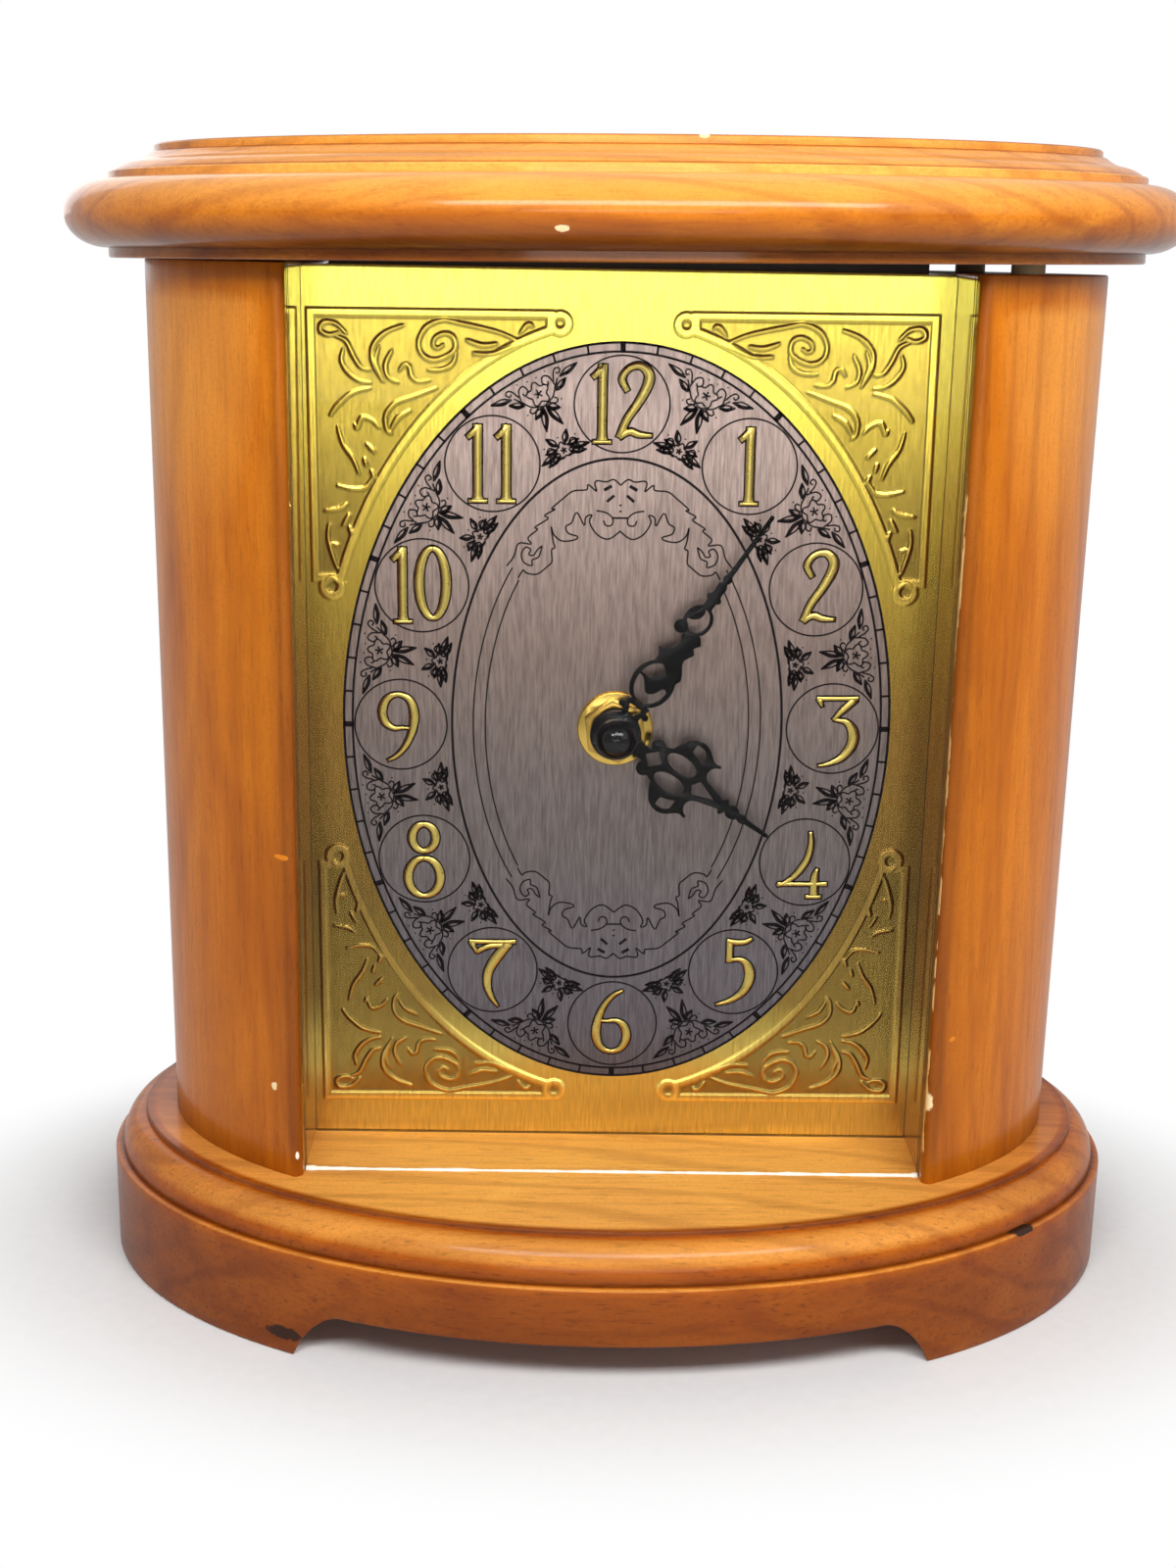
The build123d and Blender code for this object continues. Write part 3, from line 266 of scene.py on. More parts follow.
def second_finish(piece, material, chosen):
    """Give the faces that a test picks a finish of their own."""
    piece.data.materials.append(material)
    for face in piece.data.polygons:
        if chosen(face):
            face.material_index = 1


def sharpen(piece, angle_deg=35.0):
    """Smooth shading with creases kept where faces meet at more than an angle."""
    work = bmesh.new()
    work.from_mesh(piece.data)
    bmesh.ops.recalc_face_normals(work, faces=work.faces)
    limit = math.radians(angle_deg)
    for edge in work.edges:
        edge.smooth = len(edge.link_faces) == 2 and edge.calc_face_angle(0.0) < limit
    work.to_mesh(piece.data)
    work.free()
    return piece


def mark_points(piece, name, values):
    """Store one number for each point: painted shade with some dark stain above nought and painted light
    below it, "wear" where edges are bared, "rise" on embossed strokes, "panel" inside a corner's border."""
    piece.data.attributes.new(name, "FLOAT", "POINT").data.foreach_set("value", values)
    return piece


def arc(centre, radius, start_deg, end_deg, steps):
    points = []
    for i in range(steps + 1):
        angle = math.radians(start_deg + (end_deg - start_deg) * i / steps)
        points.append((centre[0] + radius * math.cos(angle), centre[1] + radius * math.sin(angle)))
    return points


def even_angles(count):
    return [2 * math.pi * i / count for i in range(count)]


def smooth_step(low, high, value):
    share = np.clip((value - low) / (high - low), 0.0, 1.0)
    return share * share * (3 - 2 * share)


# Wooden case

def swept_oval(name, rows, angles, matrix=None):
    """Closed body of stacked oval rows, each with a function from angle to (half width, half depth, height)
    and its painted shade, or painted light below nought. Painted light is weaker at the two sides."""
    vertices = []
    shades = []
    count = len(angles)
    for row, shade in rows:
        for angle in angles:
            half_width, half_depth, z = row(angle)
            vertices.append((half_width * math.cos(angle), half_depth * math.sin(angle), z))
            shades.append(shade if shade > 0 else shade * (1 - SIDE_LIGHT_FALLOFF * math.cos(angle) ** 4))
    faces = between_rows(len(rows), count)
    faces.append(tuple(range((len(rows) - 1) * count, len(rows) * count)))
    # The underside runs straight from front to back, so that it follows any arch
    for i in range(count // 2):
        strip = dict.fromkeys((i, i + 1, (count - i - 1) % count, (count - i) % count))
        faces.append(tuple(reversed(strip)))
    if matrix is not None:
        vertices = [tuple(matrix @ Vector(v)) for v in vertices]
    return sharpen(mark_points(mesh_from(name, vertices, faces), "stain_and_painted_light", shades))


def level_row(half_width, half_depth, z):
    return lambda angle: (half_width, half_depth, z)


def arch_height(x):
    """Height of the base's underside above the floor."""
    inner = ARCH_HALF_WIDTH - BRACKET_RUN
    across = abs(x)
    if across >= ARCH_HALF_WIDTH:
        return 0.0
    if across <= inner:
        return ARCH_HEIGHT
    foot = [(ARCH_HALF_WIDTH, 0.0), (ARCH_HALF_WIDTH - BRACKET_FLARE, BRACKET_KNEE)]
    ends = foot + [(inner + BRACKET_SWEEP, ARCH_HEIGHT), (inner, ARCH_HEIGHT)]
    t = np.linspace(0.0, 1.0, 41)
    weights = ((1 - t) ** 3, 3 * t * (1 - t) ** 2, 3 * t * t * (1 - t), t**3)
    xs, zs = (sum(weight * end[k] for weight, end in zip(weights, ends)) for k in (0, 1))
    return float(np.interp(-across, -xs, zs))


def base_angles():
    """Even steps round the oval, with more where the bracket feet curve."""
    steps = 56
    bracket_steps = 28
    margin = 0.6
    quarter = [math.pi / 2 * i / steps for i in range(steps + 1)]
    for i in range(bracket_steps + 1):
        x = ARCH_HALF_WIDTH + margin - (BRACKET_RUN + 2 * margin) * i / bracket_steps
        quarter.append(math.acos(x / BASE_HALF_WIDTH))
    quarter = sorted(set(round(angle, 6) for angle in quarter))
    half = quarter + [math.pi - angle for angle in reversed(quarter[:-1])]
    return half + [2 * math.pi - angle for angle in reversed(half[1:-1])]


def make_base():
    """Base board: bracket feet, upright side, ledge, ovolo and flat top."""
    ledge_z = BASE_HEIGHT - LEDGE_DROP
    ovolo_height = LEDGE_DROP - RIM_STEP
    steps = 12

    def foot_row(inset, lift):
        half_width = BASE_HALF_WIDTH - inset
        half_depth = BASE_HALF_DEPTH - inset
        return lambda angle: (half_width, half_depth, arch_height(half_width * math.cos(angle)) + lift)

    def row_at(inset, z):
        return level_row(BASE_HALF_WIDTH - inset, BASE_HALF_DEPTH - inset, z)

    rows = [(foot_row(inset, z), shade) for inset, z, shade in BASE_FOOT_ROWS]
    rows += [(row_at(inset, ledge_z + z), shade) for inset, z, shade in BASE_SIDE_ROWS]
    for i in range(steps + 1):
        share = i / steps
        angle = math.radians(90 * share)
        inset = RIM_INSET - OVOLO_WIDTH * math.cos(angle)
        # Painted shade over the ledge, then painted light on the round
        shade = 0.75 - 3.0 * share if share < 0.4 else -0.45 + 0.4 * share**6
        rows.append((row_at(inset, ledge_z + ovolo_height * math.sin(angle)), shade))
    rows += [(row_at(RIM_INSET + inset, BASE_HEIGHT + z), shade) for inset, z, shade in BASE_TOP_ROWS]
    return swept_oval("base_body", rows, base_angles())


def top_matrix():
    """Lean of the top board, which turns about the edge of the left column."""
    pivot = Matrix.Translation((-OPENING_HALF_WIDTH, 0, COLUMN_TOP + TOP_LIFT))
    tilt = Matrix.Rotation(math.radians(-TOP_TILT_DEG), 4, "Y")
    return pivot @ tilt @ Matrix.Translation((OPENING_HALF_WIDTH, 0, 0))


def make_top():
    """Top board from its low fillet up. Each row of its profile has inset, height and painted shade, or
    painted light below nought.
    """
    soft = 0.3
    nose_steps = 24
    ogee_steps = 12
    ogee_z = TOP_LOW_FILLET + BULLNOSE_HEIGHT + MID_FILLET_HEIGHT
    ogee_inset = MID_FILLET_INSET + FILLET_LEDGE
    cap_z = ogee_z + OGEE_HEIGHT
    top_z = cap_z + CAP_FILLET_HEIGHT
    cap = CAP_FILLET_INSET
    profile = [(soft, 0.0, 0.8), (0.0, soft, 0.6), (0.0, TOP_LOW_FILLET - 0.1, 0.8)]
    for i in range(nose_steps + 1):
        rise = math.sin(math.radians(-90 + 180 * i / nose_steps))
        neck = MID_FILLET_INSET if rise > 0 else 0.0
        inset = neck - (BULLNOSE_REACH + neck) * math.sqrt(1 - rise * rise)
        # Painted light on the upper half, painted shade below
        shade = -0.05 - (0.65 if rise > 0 else 1.05) * rise
        profile.append((inset, TOP_LOW_FILLET + BULLNOSE_HEIGHT / 2 * (1 + rise), shade))
    profile += [(MID_FILLET_INSET, ogee_z - soft, -0.75), (MID_FILLET_INSET + soft, ogee_z, -0.8)]
    for i in range(ogee_steps + 1):
        share = i / ogee_steps
        bend = math.sin(2 * math.pi * share) / (2 * math.pi)
        z = ogee_z + OGEE_HEIGHT * (share + OGEE_SWING * bend)
        profile.append((ogee_inset + OGEE_WIDTH * share, z, 0.5 if i in (0, ogee_steps) else -0.45))
    profile += [(cap, cap_z + 0.05, -0.3), (cap, top_z - soft, -0.6), (cap + soft, top_z, 0.6)]
    profile += [(cap + 3.0, top_z, -0.2), (cap + 30.0, top_z, -0.2)]
    rows = []
    for inset, z, shade in profile:
        rows.append((level_row(RIM_HALF_WIDTH - inset, RIM_HALF_DEPTH - inset, z), shade))
    return swept_oval("top_body", rows, even_angles(256), top_matrix())


def column_section():
    """Outline of the right column seen from above. Each point has its painted shade, dark along the flat
    wall in its recess and, with some stain, at its corners, and its wear, full on the front corner's edge."""
    radius = COLUMN_EDGE_RADIUS
    rim_steps = 96
    wall_steps = 24
    centre_x = OPENING_HALF_WIDTH + radius
    inner_width = COLUMN_HALF_WIDTH - radius
    inner_depth = COLUMN_HALF_DEPTH - radius
    centre_y = inner_depth * math.sqrt(1 - (centre_x / inner_width) ** 2)
    normal = Vector((centre_x / inner_width**2, centre_y / inner_depth**2)).normalized()
    turn = math.degrees(math.atan2(normal.y, normal.x))
    corner = arc((centre_x, centre_y), radius, 180, turn, 8)
    last = math.acos((centre_x + radius * normal.x) / COLUMN_HALF_WIDTH)
    outline = [(x, y, CORNER_STAIN_AND_SHADE, 0.0) for x, y in corner]
    for i in range(1, rim_steps):
        angle = last - 2 * last * i / rim_steps
        x = COLUMN_HALF_WIDTH * math.cos(angle)
        shade = CORNER_STAIN_AND_SHADE * math.exp((OPENING_HALF_WIDTH - x) / CORNER_SHADE_REACH)
        outline.append((x, COLUMN_HALF_DEPTH * math.sin(angle), shade, 0.0))
    for x, y in reversed(corner):
        outline.append((x, -y, CORNER_STAIN_AND_SHADE, 1.0 if x < OPENING_HALF_WIDTH + WEAR_WIDTH else 0.0))
    for i in range(1, wall_steps):
        outline.append((OPENING_HALF_WIDTH, -centre_y + 2 * centre_y * i / wall_steps, WALL_PAINTED_SHADE, 0.0))
    return outline


def make_column(name, side, edge_wear):
    """One column with soft ends, painted darker as shade, a top painted lighter, and a worn front corner."""
    section = column_section()
    if side < 0:
        section = [(-x, *rest) for x, *rest in reversed(section)]
    count = len(section)
    middle = sum(point[0] for point in section) / count
    soft = 0.5
    steps = 24
    low, high = BASE_HEIGHT, COLUMN_TOP
    rows = [(low, 0.12), (low + soft, 0.0)]
    rows += [(low + (high - low) * i / steps, 0.0) for i in range(1, steps)]
    rows += [(high - soft, 0.0), (high - soft * 0.3, 0.15), (high, soft)]
    vertices = []
    shades = []
    wears = []
    for z, inset in rows:
        # Painted light: the column grows paler towards its top
        painted_top_light = COLUMN_TOP_PAINTED_LIGHT * smooth_step(*(high - run for run in COLUMN_TOP_LIGHT_RUN), z)
        on_end = z >= high - soft or z <= low + soft
        for x, y, shade, wear in section:
            away = Vector((x - middle, y)).normalized() * inset
            vertices.append((x - away.x, y - away.y, z))
            # Painted shade on the soft ends
            shades.append(END_PAINTED_SHADE if on_end else shade - painted_top_light)
            wears.append(edge_wear * wear if z < high - WEAR_BELOW_TOP else 0.0)
    faces = between_rows(len(rows), count)
    faces.append(tuple(range((len(rows) - 1) * count, len(rows) * count)))
    faces.append(tuple(reversed(range(count))))
    piece = mark_points(mesh_from(name, vertices, faces), "stain_and_painted_light", shades)
    return sharpen(mark_points(piece, "wear", wears))


def on_wall(face):
    """Flat wall of a column, beside the dial."""
    return abs(abs(face.center.x) / MM - OPENING_HALF_WIDTH) < 0.05


def on_cap(face):
    """Flat face on top of the clock."""
    across = face.center.x / MM / (RIM_HALF_WIDTH - CAP_FILLET_INSET)
    deep = face.center.y / MM / (RIM_HALF_DEPTH - CAP_FILLET_INSET)
    return face.normal.z > 0.9 and across * across + deep * deep < 1


def strip_box(low, high):
    """Corners and faces of a thin strip."""
    corners = [(x, y, z) for z in (low[2], high[2]) for y in (low[1], high[1]) for x in (low[0], high[0])]
    return corners, [(0, 2, 3, 1), (4, 5, 7, 6), (0, 1, 5, 4), (2, 6, 7, 3), (0, 4, 6, 2), (1, 3, 7, 5)]


def make_groove_gaps():
    """Dark strips of painted shadow where the glass and the dial sheet enter the case, standing for the open
    slits there.
    """
    gap = 0.45
    proud = 0.04
    strips = []
    for near in (GLASS_LOW[1] - gap, GLASS_HIGH[1], PLATE_FRONT - gap):
        for side in (-1, 1):
            across = sorted((side * OPENING_HALF_WIDTH, side * (OPENING_HALF_WIDTH - proud)))
            strips.append(((across[0], near, BASE_HEIGHT), (across[1], near + gap, COLUMN_TOP)))
    foot = (-OPENING_HALF_WIDTH, PLATE_FRONT - gap, BASE_HEIGHT)
    strips.append((foot, (OPENING_HALF_WIDTH, PLATE_FRONT, BASE_HEIGHT + proud)))
    vertices = []
    faces = []
    for low, high in strips:
        corners, sides = strip_box(low, high)
        faces += [tuple(len(vertices) + k for k in side) for side in sides]
        vertices += corners
    return mesh_from("groove_painted_shadows", vertices, faces, smooth=False)


def make_bead():
    """Uneven bead of clear sealant along the foot of the glass, thicker at its two ends; its pale colour is
    partly a painted highlight.
    """
    steps = 160
    row = 7
    plain_radius = 0.48
    end_swell = 1.6
    span = 2 * (OPENING_HALF_WIDTH - 0.2)
    chance = random.Random(5)
    vertices = []
    swell = 0.0
    for i in range(steps + 1):
        swell = 0.8 * swell + 0.2 * chance.uniform(-1.0, 1.0)
        radius = plain_radius * (1 + 0.9 * swell)
        if i in (0, 1, 2, steps - 1, steps):
            radius *= end_swell
        for k in range(row):
            angle = math.pi / 2 * k / (row - 1)
            spot = GLASS_LOW[1] - radius * math.cos(angle), BASE_HEIGHT + 0.9 * radius * math.sin(angle)
            vertices.append((-span / 2 + span * i / steps, *spot))
    faces = []
    for i in range(steps):
        for k in range(row - 1):
            first, second = i * row + k, (i + 1) * row + k
            faces.append((first, second, second + 1, first + 1))
    return mesh_from("glass_bead", vertices, faces)


# Dial

def on_dial(x, z):
    """Place a point of the dial art, which leans a little, on the sheet."""
    lean = math.radians(ART_LEAN_DEG)
    across = ART_X + x * math.cos(lean) - z * math.sin(lean)
    return across, ART_Z + x * math.sin(lean) + z * math.cos(lean)


def round_arbor(radius, angles):
    return [(ARBOR_X + radius * math.sin(angle), ARBOR_Z + radius * math.cos(angle)) for angle in angles]


def curve_through(points, steps, closed=False):
    """Smooth curve through points of two or three values, with a number of steps from each to the next."""
    knots = np.array(points, float)
    count = len(knots)
    made = []
    for i in range(count if closed else count - 1):
        near = np.arange(i - 1, i + 3)
        before, start, end, after = knots[near % count if closed else np.clip(near, 0, count - 1)]
        slope_in = (end - before) / 2
        slope_out = (after - start) / 2
        for k in range(steps):
            t = k / steps
            bend = (2 * t**3 - 3 * t**2 + 1) * start + (t**3 - 2 * t**2 + t) * slope_in
            made.append(bend + (3 * t**2 - 2 * t**3) * end + (t**3 - t**2) * slope_out)
    if not closed:
        made.append(knots[-1])
    return np.array(made)


def oval_points(half_width, half_height, start_deg=0.0, end_deg=360.0, steps=180):
    """Points round an oval, clockwise from its top."""
    angles = [math.radians(start_deg + (end_deg - start_deg) * i / steps) for i in range(steps + 1)]
    return [(half_width * math.sin(a), half_height * math.cos(a)) for a in angles]


class Inlay:
    """Strokes on the dial's face, gathered into one mesh. A stroke is flat, or domed where it has a rise."""
    FLAT = ((1.0, 0.0), (-1.0, 0.0))
    DOMED = ((1.0, 0.0), (0.72, 0.8), (0.0, 1.0), (-0.72, 0.8), (-1.0, 0.0))
    THINNEST = 0.02

    def __init__(self, y, rise=0.0):
        self.y = y
        self.rise = rise
        self.across = self.DOMED if rise else self.FLAT
        self.vertices = []
        self.faces = []

    def stroke(self, path, width=None, steps=5, closed=False, place=on_dial, grow=0.0):
        """Path points are (x, z), or (x, z, width) where the width changes."""
        knots = [(p[0], p[1], p[2] if width is None else width) for p in path]
        run = curve_through(knots, steps, closed)
        count = len(run)
        ahead = np.arange(count) + 1
        behind = ahead - 2
        near = [k % count if closed else np.clip(k, 0, count - 1) for k in (ahead, behind)]
        along = run[near[0], :2] - run[near[1], :2]
        along /= np.maximum(np.linalg.norm(along, axis=1, keepdims=True), 1e-9)
        half = np.maximum(run[:, 2], self.THINNEST) / 2 + grow / 2
        start = len(self.vertices)
        for i, (x, z, _) in enumerate(run):
            at_end = not closed and i in (0, count - 1)
            reach = (half[i] * 0.35 + grow * 0.3) * (1 if i else -1) if at_end else 0.0
            for side, lift in self.across:
                px = x + along[i, 0] * reach - along[i, 1] * side * half[i]
                pz = z + along[i, 1] * reach + along[i, 0] * side * half[i]
                dial_x, dial_z = place(px, pz)
                self.vertices.append((dial_x, self.y - (0.0 if at_end else self.rise * lift), dial_z))
        row = len(self.across)
        for i in range(count if closed else count - 1):
            j = (i + 1) % count
            for k in range(row - 1):
                first, second = start + i * row + k, start + j * row + k
                self.faces.append((first, first + 1, second + 1, second))

    def build(self, name):
        return mesh_from(name, self.vertices, self.faces)


# One half of a large and a small sprig: first along the minute track, then inward. A leaf has its root, tip
# and width
LARGE_CURLS = (
    ((0.0, 2.8), (2.4, 1.9), (3.8, 0.2), (5.0, -1.2)),
    ((3.9, -0.2), (3.5, -2.2), (2.3, -2.8), (1.7, -1.6), (2.6, -0.8), (2.9, -1.4)),
    ((4.0, -1.0), (4.6, -2.4), (5.4, -3.2), (6.2, -2.8), (5.8, -2.0), (5.2, -2.3)),
    ((1.3, 2.6), (2.6, 3.2), (3.2, 2.6), (2.7, 2.1)),
)
LARGE_LEAVES = (
    ((5.6, -1.3), (10.0, -2.2), 1.2), ((3.65, 1.0), (6.6, -0.5), 1.2), ((0.3, 3.0), (1.9, 7.8), 1.3),
    ((0.4, 3.0), (2.9, 4.5), 1.4),
)
LARGE_DOTS = ((1.0, -3.2), (3.2, -3.6), (6.4, -0.2), (3.9, 3.0))
SMALL_CURLS = (
    ((0.6, 1.2), (2.2, 1.5), (3.4, 0.9), (3.2, 0.1), (2.6, 0.4)),
    ((1.2, -0.4), (2.4, -1.6), (3.3, -1.2), (2.9, -0.5)),
)
SMALL_LEAVES = (
    ((1.5, 0.1), (5.6, 0.9), 1.3), ((1.2, 0.8), (4.4, 1.9), 1.1), ((0.8, -1.2), (2.4, -3.7), 1.2),
    ((1.4, -0.6), (3.9, -0.8), 1.0),
)
SMALL_DOTS = ((0.0, -2.9), (3.6, -2.0))
# Angles in the first quarter, oval, flower radius and drawing of each kind of sprig
SPRIGS = (
    ((19.4, 51.2, 77.5), (52.6, 75.2), 2.1, LARGE_CURLS, LARGE_LEAVES, LARGE_DOTS),
    ((17.9, 48.9, 77.0), (39.3, 62.4), 1.5, SMALL_CURLS, SMALL_LEAVES, SMALL_DOTS),
)
SPRIG_LINE = 0.36
DOT_HALF = 0.12
DOT_WIDTH = 0.3
PETALS = 5
PETAL_SWELL = 0.21
VEIN_SHARE = 0.42


def leaf_strokes(root, tip, width):
    """Two outline strokes and one half filling of a pointed leaf."""
    root, tip = np.array(root), np.array(tip)
    along = tip - root
    normal = np.array((-along[1], along[0])) / np.linalg.norm(along)
    belly = root + 0.45 * along
    shaded = root + 0.15 * along, belly + normal * width * 0.22, root + 0.85 * along
    outline = [[root, belly + normal * side * width / 2, tip] for side in (1, -1)]
    return outline, shaded


def draw_sprig(ink, angle_deg, oval, flower_radius, curls, leaves, dots):
    """Flower with mirrored stems, curls and leaves, set along an oval."""
    half_width, half_height = oval
    angle = math.radians(angle_deg)
    centre = Vector((half_width * math.sin(angle), half_height * math.cos(angle)))
    inward = -Vector((centre.x / half_width**2, centre.y / half_height**2)).normalized()
    tangent = Vector((-inward.y, inward.x))

    def place_side(side):
        def place(x, z):
            spot = centre + tangent * x * side + inward * z
            return on_dial(spot.x, spot.y)
        return place

    rim = []
    for turn in even_angles(40):
        radius = flower_radius * (1 + PETAL_SWELL * math.cos(PETALS * turn))
        rim.append((radius * math.sin(turn), -radius * math.cos(turn)))
    ink.stroke(rim, SPRIG_LINE, 1, True, place_side(1))
    tip = flower_radius * VEIN_SHARE
    for i in range(PETALS):
        turn = 2 * math.pi * (i + 0.5) / PETALS
        vein = [(0.0, 0.0), (tip * math.sin(turn), tip * math.cos(turn))]
        ink.stroke(vein, SPRIG_LINE * 1.1, 1, False, place_side(1))
    for side in (1, -1):
        place = place_side(side)
        for curl in curls:
            ink.stroke(curl, SPRIG_LINE, 5, False, place)
        for root, tip, width in leaves:
            outline, shaded = leaf_strokes(root, tip, width)
            for edge in outline:
                ink.stroke(edge, SPRIG_LINE, 5, False, place)
            ink.stroke(shaded, width * 0.5, 4, False, place)
        for x, z in dots:
            ink.stroke([(x - DOT_HALF, z), (x + DOT_HALF, z)], DOT_WIDTH, 1, False, place)


# Right half of the upper scroll cartouche, measured from the middle of the dial
CARTOUCHE_UPPER = (
    (0.0, 52.2), (1.5, 53.4), (3.0, 52.9), (5.0, 53.1), (5.5, 52.4), (5.1, 50.9), (6.3, 51.9), (7.0, 52.2),
    (7.2, 51.2), (10.0, 50.9), (12.0, 49.4), (14.5, 47.2), (13.8, 47.0), (16.0, 45.7), (15.3, 45.0),
    (18.0, 43.2), (17.5, 42.7), (19.5, 40.9), (18.8, 39.6), (21.5, 39.7), (22.5, 36.9), (24.0, 34.9),
)
CARTOUCHE_LOWER = (
    (0.0, 42.5), (2.5, 40.8), (5.0, 41.9), (6.5, 44.4), (6.0, 45.9), (7.3, 45.4), (7.6, 43.7), (9.2, 46.4),
    (10.3, 44.2), (11.5, 43.4), (11.0, 42.0), (9.0, 41.3), (9.6, 40.6), (12.2, 40.3), (14.0, 41.6),
    (14.6, 43.4), (14.2, 40.4), (13.8, 38.9), (14.5, 38.4), (14.4, 35.9), (15.3, 34.9), (17.5, 33.2),
    (19.8, 33.4), (20.5, 34.0), (21.5, 32.4),
)
CARTOUCHE_SCROLL = (
    (16.5, 39.2), (17.2, 36.9), (18.6, 36.2), (18.6, 35.0), (20.3, 35.6), (20.9, 37.4), (20.0, 38.9),
    (18.9, 38.4), (19.3, 37.4), (18.3, 37.2), (17.5, 38.4), (16.5, 39.2),
)
CARTOUCHE_HEART = ((5.0, 46.8), (3.0, 46.4), (1.6, 45.2), (1.8, 43.8), (3.0, 43.7), (3.5, 44.7))
CARTOUCHE_DROPS = (
    ((2.0, 52.0), (3.4, 51.2), 0.7), ((1.4, 50.0), (2.8, 48.8), 0.6), ((0.0, 48.1), (0.0, 47.9), 0.5),
    ((0.0, 46.8), (0.0, 46.6), 0.5), ((0.0, 45.3), (1.6, 45.3), 0.4),
)
CARTOUCHE_LINE = 0.34


def draw_cartouches(ink):
    """Scroll cartouches at the top and the foot of the oval."""
    for across in (1, -1):
        for up in (1, -1):
            def place(x, z, across=across, up=up):
                return on_dial(x * across, z * up)
            for path in (CARTOUCHE_UPPER, CARTOUCHE_LOWER, CARTOUCHE_SCROLL, CARTOUCHE_HEART):
                ink.stroke(path, CARTOUCHE_LINE, 4, False, place)
            for start, end, width in CARTOUCHE_DROPS:
                ink.stroke([start, end], width, 1, False, place)


# Minute track, hour circles and ovals. The hours of the first quarter stand at their own angles on an oval
TRACK_INSET = 0.25
TRACK_GAP = 1.85
TRACK_LINES = (0.55, 0.5)
HOUR_MARK = 1.2
MINUTE_MARK = 0.48
HOUR_CIRCLE = 10.0
CIRCLE_LINE = 0.36
HOUR_OVAL = (46.9, 69.0)
HOUR_ANGLES = (0.0, 35.2, 63.8, 90.0)
INNER_OVAL = (35.8, 57.8)
INNER_LINE = 0.55
THIN_OVALS = ((31.2, 50.5, 47.0), (28.6, 48.0, 48.5))
THIN_LINE = 0.32


def hour_centre(hour):
    """Middle of an hour circle; the other quarters mirror the first."""
    quarter, step = divmod(hour % 12, 3)
    if quarter % 2:
        angle = math.radians(90.0 * (quarter + 1) - HOUR_ANGLES[3 - step])
    else:
        angle = math.radians(90.0 * quarter + HOUR_ANGLES[step])
    return HOUR_OVAL[0] * math.sin(angle), HOUR_OVAL[1] * math.cos(angle)


def track_angles(count):
    """Angles that divide the oval's rim into equal lengths."""
    fine = np.linspace(0.0, 2 * math.pi, 2881)
    rim = np.stack([OVAL_HALF_WIDTH * np.sin(fine), OVAL_HALF_HEIGHT * np.cos(fine)], 1)
    run = np.concatenate([[0.0], np.cumsum(np.linalg.norm(np.diff(rim, axis=0), axis=1))])
    return np.interp(np.arange(count) / count * run[-1], run, fine)


def make_print():
    """All the printed lines of the silvered oval."""
    ink = Inlay(OVAL_FACE - INK_LIFT)
    outer = (OVAL_HALF_WIDTH - TRACK_INSET, OVAL_HALF_HEIGHT - TRACK_INSET)
    inner = (outer[0] - TRACK_GAP, outer[1] - TRACK_GAP)
    for oval, line in zip((outer, inner), TRACK_LINES):
        ink.stroke(oval_points(*oval)[:-1], line, 1, True)
    for i, angle in enumerate(track_angles(60)):
        x, z = outer[0] * math.sin(angle), outer[1] * math.cos(angle)
        normal = Vector((x / outer[0] ** 2, z / outer[1] ** 2)).normalized()
        foot = (x - normal.x * TRACK_GAP, z - normal.y * TRACK_GAP)
        ink.stroke([(x, z), foot], MINUTE_MARK if i % 5 else HOUR_MARK, 1)
    for hour in range(1, 13):
        x, z = hour_centre(hour)
        ring = [(x + HOUR_CIRCLE * u, z + HOUR_CIRCLE * v) for u, v in oval_points(1.0, 1.0, steps=72)[:-1]]
        ink.stroke(ring, CIRCLE_LINE, 1, True)
    ink.stroke(oval_points(*INNER_OVAL)[:-1], INNER_LINE, 1, True)
    for half_width, half_height, start in THIN_OVALS:
        for turn in (0.0, 180.0):
            side = oval_points(half_width, half_height, turn + start, turn + 180.0 - start, 60)
            ink.stroke(side, THIN_LINE, 1)
    for quarter in (1, -1):
        for flip in (0.0, 180.0):
            for angles, *sprig in SPRIGS:
                for angle in angles:
                    draw_sprig(ink, flip + quarter * angle, *sprig)
    draw_cartouches(ink)
    return ink.build("dial_print")


def round_stroke(x, z, half_width, half_height, thin, swell, steps):
    """Closed stroke of a round figure, thicker at its sides."""
    stroke = []
    for t in np.linspace(0, 2 * math.pi, steps + 1):
        width = thin + swell * abs(math.sin(t))
        stroke.append((x + half_width * math.sin(t), z + half_height * math.cos(t), width))
    return stroke


